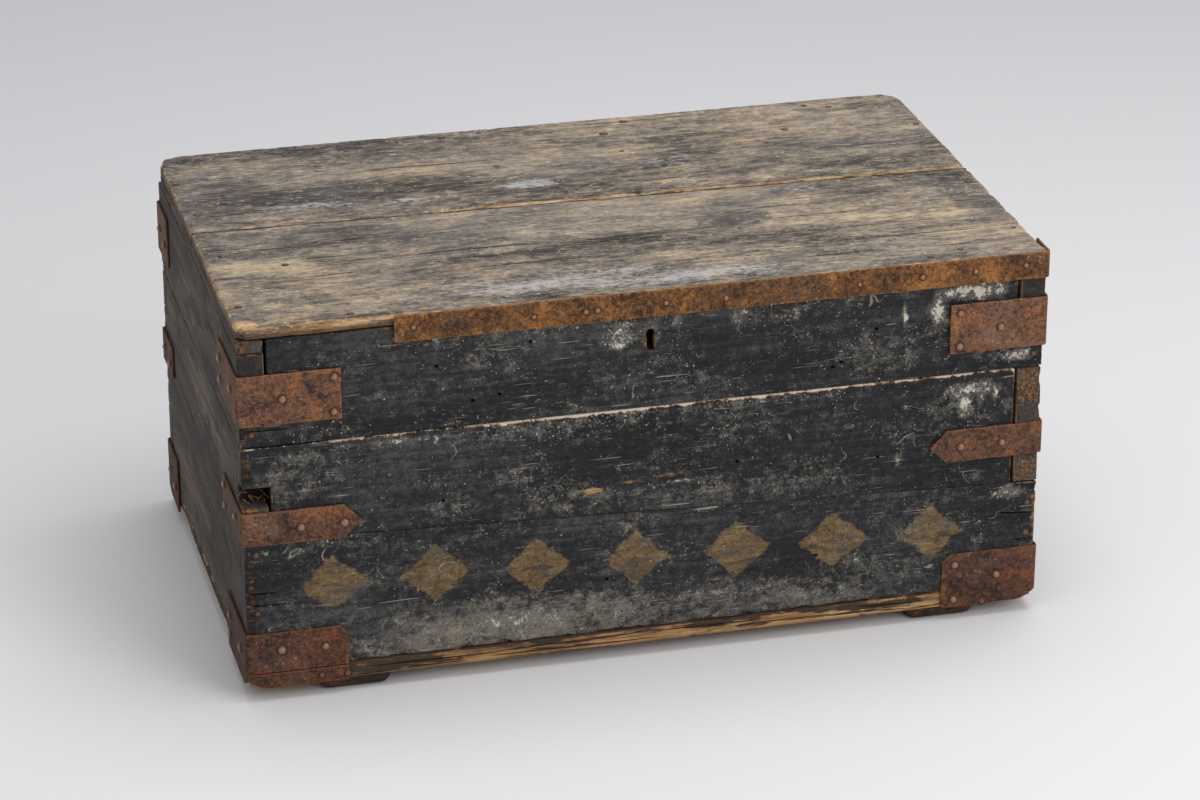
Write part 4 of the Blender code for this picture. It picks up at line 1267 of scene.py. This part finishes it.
# Hinges: two wrought strap hinges, the long straps under the lid and pointed leaves down the back.
# Each turns on a plain pin and is nailed on with flat-headed nails.
hinge_finish = rusty_sheet("hinge_finish", 5, tone(44, 33, 29), tone(70, 48, 38), tone(92, 60, 43),
                           tone(122, 78, 52), tone(92, 80, 72))
strap_nails = ((-0.008, 0.205), (0.008, 0.16), (-0.007, 0.09), (0.007, 0.03), (0.0, -0.04))
for side, hinge_x in (("left", -hinge_reach), ("right", hinge_reach)):
    for part in ("strap", "leaf", "pin"):
        refinish(f"{side}_hinge_{part}", hinge_finish)
    leaf_front = rear_y + seat_gap + sheet_gauge
    drive_heads(f"{side}_leaf_nails", flat_head, (0, 1, 0),
                [(hinge_x + x, leaf_front, z) for x, z in ((-0.009, 0.397), (0.009, 0.383), (-0.008, 0.354),
                                                           (0.001, 0.326))],
                nail_iron, "box", "hinge_iron", 12)
    drive_heads(f"{side}_strap_nails", flat_head, (0, 0, -1),
                [(hinge_x + x, y, 0.4317 - sheet_gauge) for x, y in strap_nails],
                nail_iron, "lid", "hinge_iron", 13)


# Lid: two bare pine boards side by side, once painted and now weathered grey with tan wear.
# Their edges are rubbed round and bitten, most of all the front left corner and the right end.
def arc(centre_x, centre_y, radius, start, end, steps=8):
    points = []
    for step in range(steps + 1):
        turn = math.radians(start + (end - start) * step / steps)
        points.append((centre_x + radius * math.cos(turn), centre_y + radius * math.sin(turn)))
    return points


def weathered_pine(name, seed):
    """Grey driftwood tones in streaks and blots, dark cracks, pale rubbed flecks and a chalky bloom."""
    finish, tree, shader = new_finish(name)
    shift = (seed * 1.9, seed * 2.7, seed * 0.8)
    patch = cloud(tree, space(tree, (3.2, 9, 9), shift), 6, 0.66, 0.3)
    blot = cloud(tree, space(tree, (13, 26, 26), shift), 6, 0.72)
    bands = cloud(tree, space(tree, (1.7, 34, 34), shift), 4, 0.6, 0.7)
    mid = cloud(tree, space(tree, (20, 110, 110), shift), 5, 0.7, 0.3)
    dash = cloud(tree, space(tree, (110, 220, 220), shift), 4, 0.75)
    fine = cloud(tree, space(tree, (40, 420, 420), shift), 4, 0.7)
    mottle = cloud(tree, space(tree, (70, 70, 70), shift), 5, 0.75, 0.4)
    value = weigh(tree, (patch, 0.21), (blot, 0.23), (bands, 0.10), (mid, 0.17), (dash, 0.15), (mottle, 0.14),
                  (noted(tree, "scuff_and_shade"), 0.05))
    colour = shades(tree, value, (0.44, tone(56, 52, 50)), (0.475, tone(90, 83, 77)),
                    (0.504, tone(119, 109, 98)), (0.536, tone(147, 133, 115)), (0.58, tone(186, 166, 137)))
    veil = fade(tree, cloud(tree, space(tree, (2.6, 6, 6), shift), 5, 0.65), 0.46, 0.6)
    colour = glaze(tree, veil, 0.24, colour, tone(124, 121, 120))
    colour = glaze(tree, fade(tree, fine, 0.54, 0.63), 0.6, colour, tone(54, 50, 47))
    colour = glaze(tree, fade(tree, fine, 0.45, 0.36), 0.5, colour, tone(188, 172, 150))
    rings = fade(tree, calc(tree, "ABSOLUTE", calc(tree, "SUBTRACT", bands, 0.5)), 0.016, 0.006)
    here = fade(tree, cloud(tree, space(tree, (4, 8, 8), shift), 3, 0.5), 0.5, 0.62)
    colour = glaze(tree, calc(tree, "MULTIPLY", rings, here), 0.5, colour, tone(182, 154, 114))
    cracks = fade(tree, cloud(tree, space(tree, (4, 160, 160), (shift[1], shift[0], 0)), 3, 0.6), 0.655, 0.69)
    colour = glaze(tree, cracks, 0.85, colour, tone(40, 35, 32))
    peaks = weigh(tree, (cloud(tree, space(tree, (110, 280, 280), shift), 3, 0.65), 1), (blot, 0.3))
    colour = glaze(tree, fade(tree, peaks, 0.79, 0.83), 0.7, colour, tone(200, 182, 154))
    spots = weigh(tree, (cloud(tree, space(tree, (70, 170, 170), shift), 3, 0.6), 1), (patch, -0.3))
    colour = glaze(tree, fade(tree, spots, 0.50, 0.54), 0.7, colour, tone(50, 45, 42))
    thin = strongest(tree, scratches(tree, space(tree, (18, 330, 330), shift, (0, 0, 0.6)), 0.03),
                     scratches(tree, space(tree, (18, 330, 330), shift, (0, 0, -0.9)), 0.03),
                     hairs(tree, space(tree, (40, 80, 80), shift), 0.018, 0.54))
    colour = glaze(tree, thin, 0.5, colour, tone(192, 174, 146))
    chalk = weigh(tree, (cloud(tree, space(tree, (14, 60, 60), shift), 7, 0.78), 0.55), (dash, 0.45),
                  (noted(tree, "smear"), 0.22))
    colour = glaze(tree, fade(tree, chalk, 0.59, 0.74), 0.75, colour, tone(178, 178, 180))
    chips = weigh(tree, (cloud(tree, space(tree, (30, 70, 70), shift), 6, 0.7), 0.75), (fine, 0.25))
    worn = strongest(tree, noted(tree, "edge"), noted(tree, "bare"))
    bare = fade(tree, weigh(tree, (worn, 0.5), (chips, 1)), 0.76, 0.93)
    wood = shades(tree, weigh(tree, (mid, 0.5), (fine, 0.25), (dash, 0.25)), (0.41, tone(92, 64, 41)),
                  (0.5, tone(174, 138, 96)), (0.58, tone(212, 182, 140)))
    colour = glaze(tree, bare, 0.9, colour, wood)
    axes = object_axes(tree)
    side = fade(tree, weigh(tree, (axes["Z"], 1), (chips, 0.006), (fine, 0.004)), 0.4462, 0.4424)
    colour = glaze(tree, side, 0.66, colour, tone(78, 52, 32))
    # Painted shade and grime: the marked seam gap, nail holes and cracks go near black.
    colour = cover(tree, fade(tree, noted(tree, "hollow_shade_and_grime"), 0.25, 0.7), colour, tone(20, 15, 12))
    join(tree, shader.inputs["Base Color"], colour)
    join(tree, shader.inputs["Roughness"], weigh(tree, (mid, 0.3), (1.0, 0.64)))
    shader.inputs["Specular IOR Level"].default_value = 0.25
    relief(tree, shader, weigh(tree, (mid, 1), (bands, 0.7), (fine, -0.6), (cracks, -1), (blot, 0.5)), 0.0009)
    return finish


def lid_seam(x):
    return 0.007 - 0.0208 * x


def dress_seam(shape, front):
    """Rubs the back board's edge along the seam to bare wood, and paints shade dark into the seam's gap on
    both boards.
    """
    bare, hollow_shade_and_grime = (shape.verts.layers.float[mark] for mark in ("bare", "hollow_shade_and_grime"))
    for point in shape.verts:
        gap = abs(point.co.y - lid_seam(point.co.x))
        if front and gap < 0.0045:
            point[hollow_shade_and_grime] = 0.8 + 0.6 * noise.noise(point.co * 25)
        if front or gap > 0.009:
            continue
        if point.co.z > lid_top - 0.0045:
            shown = min(1, max(0, 4 * (point.co.x + 0.36)))
            point[bare] = max(point[bare], 1.2 * shown * (1 - gap / 0.009) ** 0.5)
        elif gap < 0.002:
            point[hollow_shade_and_grime] = 1


lid_under, lid_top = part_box("lid_front_board")[0].z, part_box("lid_front_board")[1].z
lid_outlines = {
    "front": arc(-0.441, face_y + 0.016, 0.016, 180, 270)
             + [(half_length, face_y), (half_length, -0.0034), (-half_length, 0.0156)],
    "back": [(-half_length, 0.0174), (half_length, -0.0016)] + arc(0.431, rear_y - 0.026, 0.026, 0, 90)
            + arc(-0.431, rear_y - 0.026, 0.026, 90, 180),
}
lid_marks = {
    "front": {
        "smear": ((-0.12, -0.225, 0.22, 0.04, 0.75), (0.05, -0.245, 0.18, 0.03, 0.8),
                  (0.27, -0.22, 0.1, 0.05, 0.35), (0.25, -0.02, 0.03, 0.015, 0.7)),
        "scuff_and_shade": ((-0.15, -0.137, 0.13, 0.013, -1.6), (0.0, -0.126, 0.08, 0.009, -1.3),
                  (0.15, -0.095, 0.06, 0.03, -1.0), (0.28, -0.1, 0.16, 0.09, 0.8),
                  (0.33, -0.22, 0.14, 0.05, 0.8), (-0.4, -0.15, 0.06, 0.04, -0.8),
                  (0.02, -0.07, 0.16, 0.06, 0.45), (0.43, -0.08, 0.04, 0.1, -0.6),
                  (0.1, -0.19, 0.12, 0.04, 0.5), (-0.4, -0.1, 0.07, 0.03, 1.0),
                  (0.4, -0.14, 0.06, 0.012, 1.6), (-0.35, -0.245, 0.1, 0.03, 0.9)),
        "bare": ((-0.45, -0.268, 0.03, 0.03, 1.1), (-0.40, -0.262, 0.06, 0.02, 0.7),
                 (-0.33, -0.262, 0.07, 0.012, 0.6), (-0.44, -0.2, 0.02, 0.06, 0.35)),
    },
    "back": {
        "smear": ((-0.05, 0.069, 0.055, 0.016, 1.1), (-0.3, 0.066, 0.09, 0.018, 0.8),
                  (-0.19, 0.06, 0.09, 0.016, 0.52), (-0.405, 0.099, 0.012, 0.008, 0.6),
                  (0.13, 0.1, 0.05, 0.03, 0.5), (0.1, 0.03, 0.08, 0.02, 0.4)),
        "scuff_and_shade": ((-0.36, 0.2, 0.08, 0.06, 0.4), (-0.2, 0.1, 0.13, 0.05, -1.1),
                  (-0.33, 0.1, 0.14, 0.05, -1.0), (-0.1, 0.2, 0.14, 0.05, -0.4),
                  (0.15, 0.16, 0.07, 0.06, -1.1), (0.35, 0.2, 0.12, 0.05, 0.7),
                  (0.36, 0.05, 0.08, 0.04, -0.9), (0.37, 0.23, 0.07, 0.02, -1.0),
                  (-0.15, 0.24, 0.2, 0.02, -0.7)),
        "bare": ((-0.03, 0.073, 0.02, 0.006, 0.5), (0.42, 0.2, 0.04, 0.05, 0.4),
                 (0.44, 0.07, 0.015, 0.07, 0.5)),
    },
}
lid_holes = {
    "front": ((-0.438, -0.064), (-0.325, -0.232), (-0.202, -0.186), (-0.214, -0.224), (0.326, -0.243),
              (-0.442, -0.132)),
    "back": ((-0.444, 0.21), (-0.286, 0.174), (-0.348, 0.242), (-0.056, 0.203), (0.288, 0.033),
             (0.038, 0.143)),
}
lid_splits = {
    "front": (((0.127, -0.217), (0.258, -0.2185)), ((0.3, -0.12), (0.456, -0.117)),
              ((-0.456, -0.13), (-0.41, -0.129)), ((-0.27, -0.166), (-0.17, -0.142)),
              ((-0.17, -0.142), (-0.08, -0.118)), ((-0.08, -0.118), (0.05, -0.128))),
    "back": (((-0.45, 0.172), (-0.43, 0.171)), ((0.33, 0.1), (0.456, 0.098)), ((-0.1, 0.076), (0.0, 0.073)),
             ((-0.456, 0.05), (-0.36, 0.0485))),
}


def lid_wear(near):
    if near.z < lid_under + 0.004 and near.y > face_y + 0.01:
        return 0.5
    if near.y < face_y + 0.012:
        return 2.3 if near.x < -0.27 else 0.5
    if near.x > 0.44:
        return 1.9
    if abs(near.y - lid_seam(near.x)) < 0.002:
        return 0.6 if near.y < lid_seam(near.x) or near.x < -0.22 else 1.9
    if near.y > rear_y - 0.01:
        return 0.7
    return 1.5 if near.x < -0.44 else 1.05


for seed, side in enumerate(("front", "back")):
    shape = worn_board(lid_outlines[side], "z", lid_under, lid_top,
                       (("x", 0.0055), ("y", 0.0048), ("z", 0.006)), 0.0021, 0.0042, 51 + seed, lid_wear,
                       0.0014)
    mark_faces(shape, "z", lid_top, lid_marks[side])
    mark_face(shape, "bare", "y", face_y, ((-0.37, 0.440, 0.11, 0.016, 1.0),))
    dress_seam(shape, side == "front")
    pierce(shape, "z", lid_top, lid_holes[side], 0.004)
    for start, end in lid_splits[side]:
        split_grain(shape, (*start, lid_top), (*end, lid_top), (0, 0, 1), 0.001, 0.0025)
    line_inside(shape, "z", lid_under)
    place_piece(f"lid_{side}_plank", shape, [weathered_pine(f"lid_{side}_pine", 1 + seed), inside_pine],
                "lid", "lid_wood", f"lid_{side}_board")

# Lid battens: a strip under each end that keeps the two boards flat and closes down on the end boards.
# Painted with the ends, and worn orange where the front end of the left one shows.
for seed, (side, sign) in enumerate((("left", -1), ("right", 1))):
    low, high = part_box(f"{side}_lid_batten")
    bend = arc(0.431 * sign, rear_y - 0.026, 0.026, 90 - 90 * sign, 90)
    strip = [(sign * half_length, face_y)] + bend + [(sign * 0.4283, rear_y), (sign * 0.4283, face_y)]
    shape = worn_board(strip, "z", low.z, high.z, (("y", 0.006), ("x", 0.006), ("z", 0.005)), 0.0018, 0.0035,
                       61 + seed, lambda near: 1.6 if near.y < face_y + 0.01 else 1, 0.0012)
    mark_face(shape, "scuff_and_shade", "y", face_y, ((-0.437, 0.424, 0.03, 0.02, 0.7),
                                            (0.437, 0.424, 0.03, 0.02, -0.9)))
    mark_face(shape, "bare", "y", face_y, ((-0.456, 0.425, 0.014, 0.014, 1.0),))
    place_piece(f"{side}_lid_strip", shape, [end_paint(f"{side}_batten_paint", "y", 11 + seed)], "lid",
                "end_wood", f"{side}_lid_batten")

# Lid nails: rusty heads sunk in the top of the lid over the battens, the hinge straps and the lock's staple.
# A few stand crooked, and pale wood is torn round some of them.
lid_nail_places = ((-0.328, 0.25), (-0.292, 0.252), (-0.449, 0.172), (-0.441, 0.068), (-0.33, -0.259),
                   (-0.118, 0.248), (-0.071, 0.252), (-0.076, 0.137), (0.106, 0.248), (0.073, 0.212),
                   (0.079, 0.149), (-0.107, -0.264), (0.118, -0.262), (0.334, 0.247), (0.362, 0.235),
                   (0.287, 0.171), (0.446, 0.15), (0.325, -0.26), (0.364, -0.247), (-0.372, -0.104),
                   (-0.406, 0.099), (0.443, -0.05), (0.444, -0.2), (-0.443, -0.21))
drive_heads("lid_nails", flat_head, (0, 0, 1), [(x, y, lid_top - 0.0003) for x, y in lid_nail_places],
            nail_iron, "lid", "rusty_iron", 17, 0.3)

# Lid band: a strip of rusty sheet nailed along the front edge of the lid and turned round its right end.
# It is ochre brown with dark pits, a little ragged along both rims.
band_rust = rusty_sheet("band_rust", 8, tone(48, 33, 23), tone(90, 60, 36), tone(126, 82, 43),
                        tone(170, 115, 60), tone(100, 76, 58))
low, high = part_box("lid_band")
shape = bent_plate(1, -1, 0.040, 0.743, low.z, high.z, 77)
place_piece("lid_rim_band", shape, [band_rust], "lid", "rusty_iron", "lid_band")

# Band nails: small round heads in dark rings, rust where the strip has rusted away round them and painted
# shade at their feet.
# They are the band's only fixing.
ringed_head = turned_head(((0, 0.0017), (0.0014, 0.0016), (0.0026, 0.0010), (0.0031, 0.0003),
                           (0.0043, 0.0002), (0.0046, -0.0006), (0, -0.0006)), 12)
band_head_iron = iron_head("band_head_iron", tone(36, 23, 15), tone(110, 72, 40), tone(160, 112, 70), 6)
drive_heads("lid_band_nails", ringed_head, (0, -1, 0),
            [(x, plate_front, z) for x, z in ((-0.132, 0.429), (-0.074, 0.4285), (-0.061, 0.429),
                                              (0.016, 0.430), (0.084, 0.4285), (0.237, 0.429), (0.310, 0.430),
                                              (0.372, 0.4305), (0.431, 0.432), (-0.265, 0.431))],
            band_head_iron, "lid", "rusty_iron", 21)
drive_heads("lid_band_end_nails", ringed_head, (1, 0, 0), [(plate_end, face_y + 0.027, 0.430)],
            band_head_iron, "lid", "rusty_iron", 22)
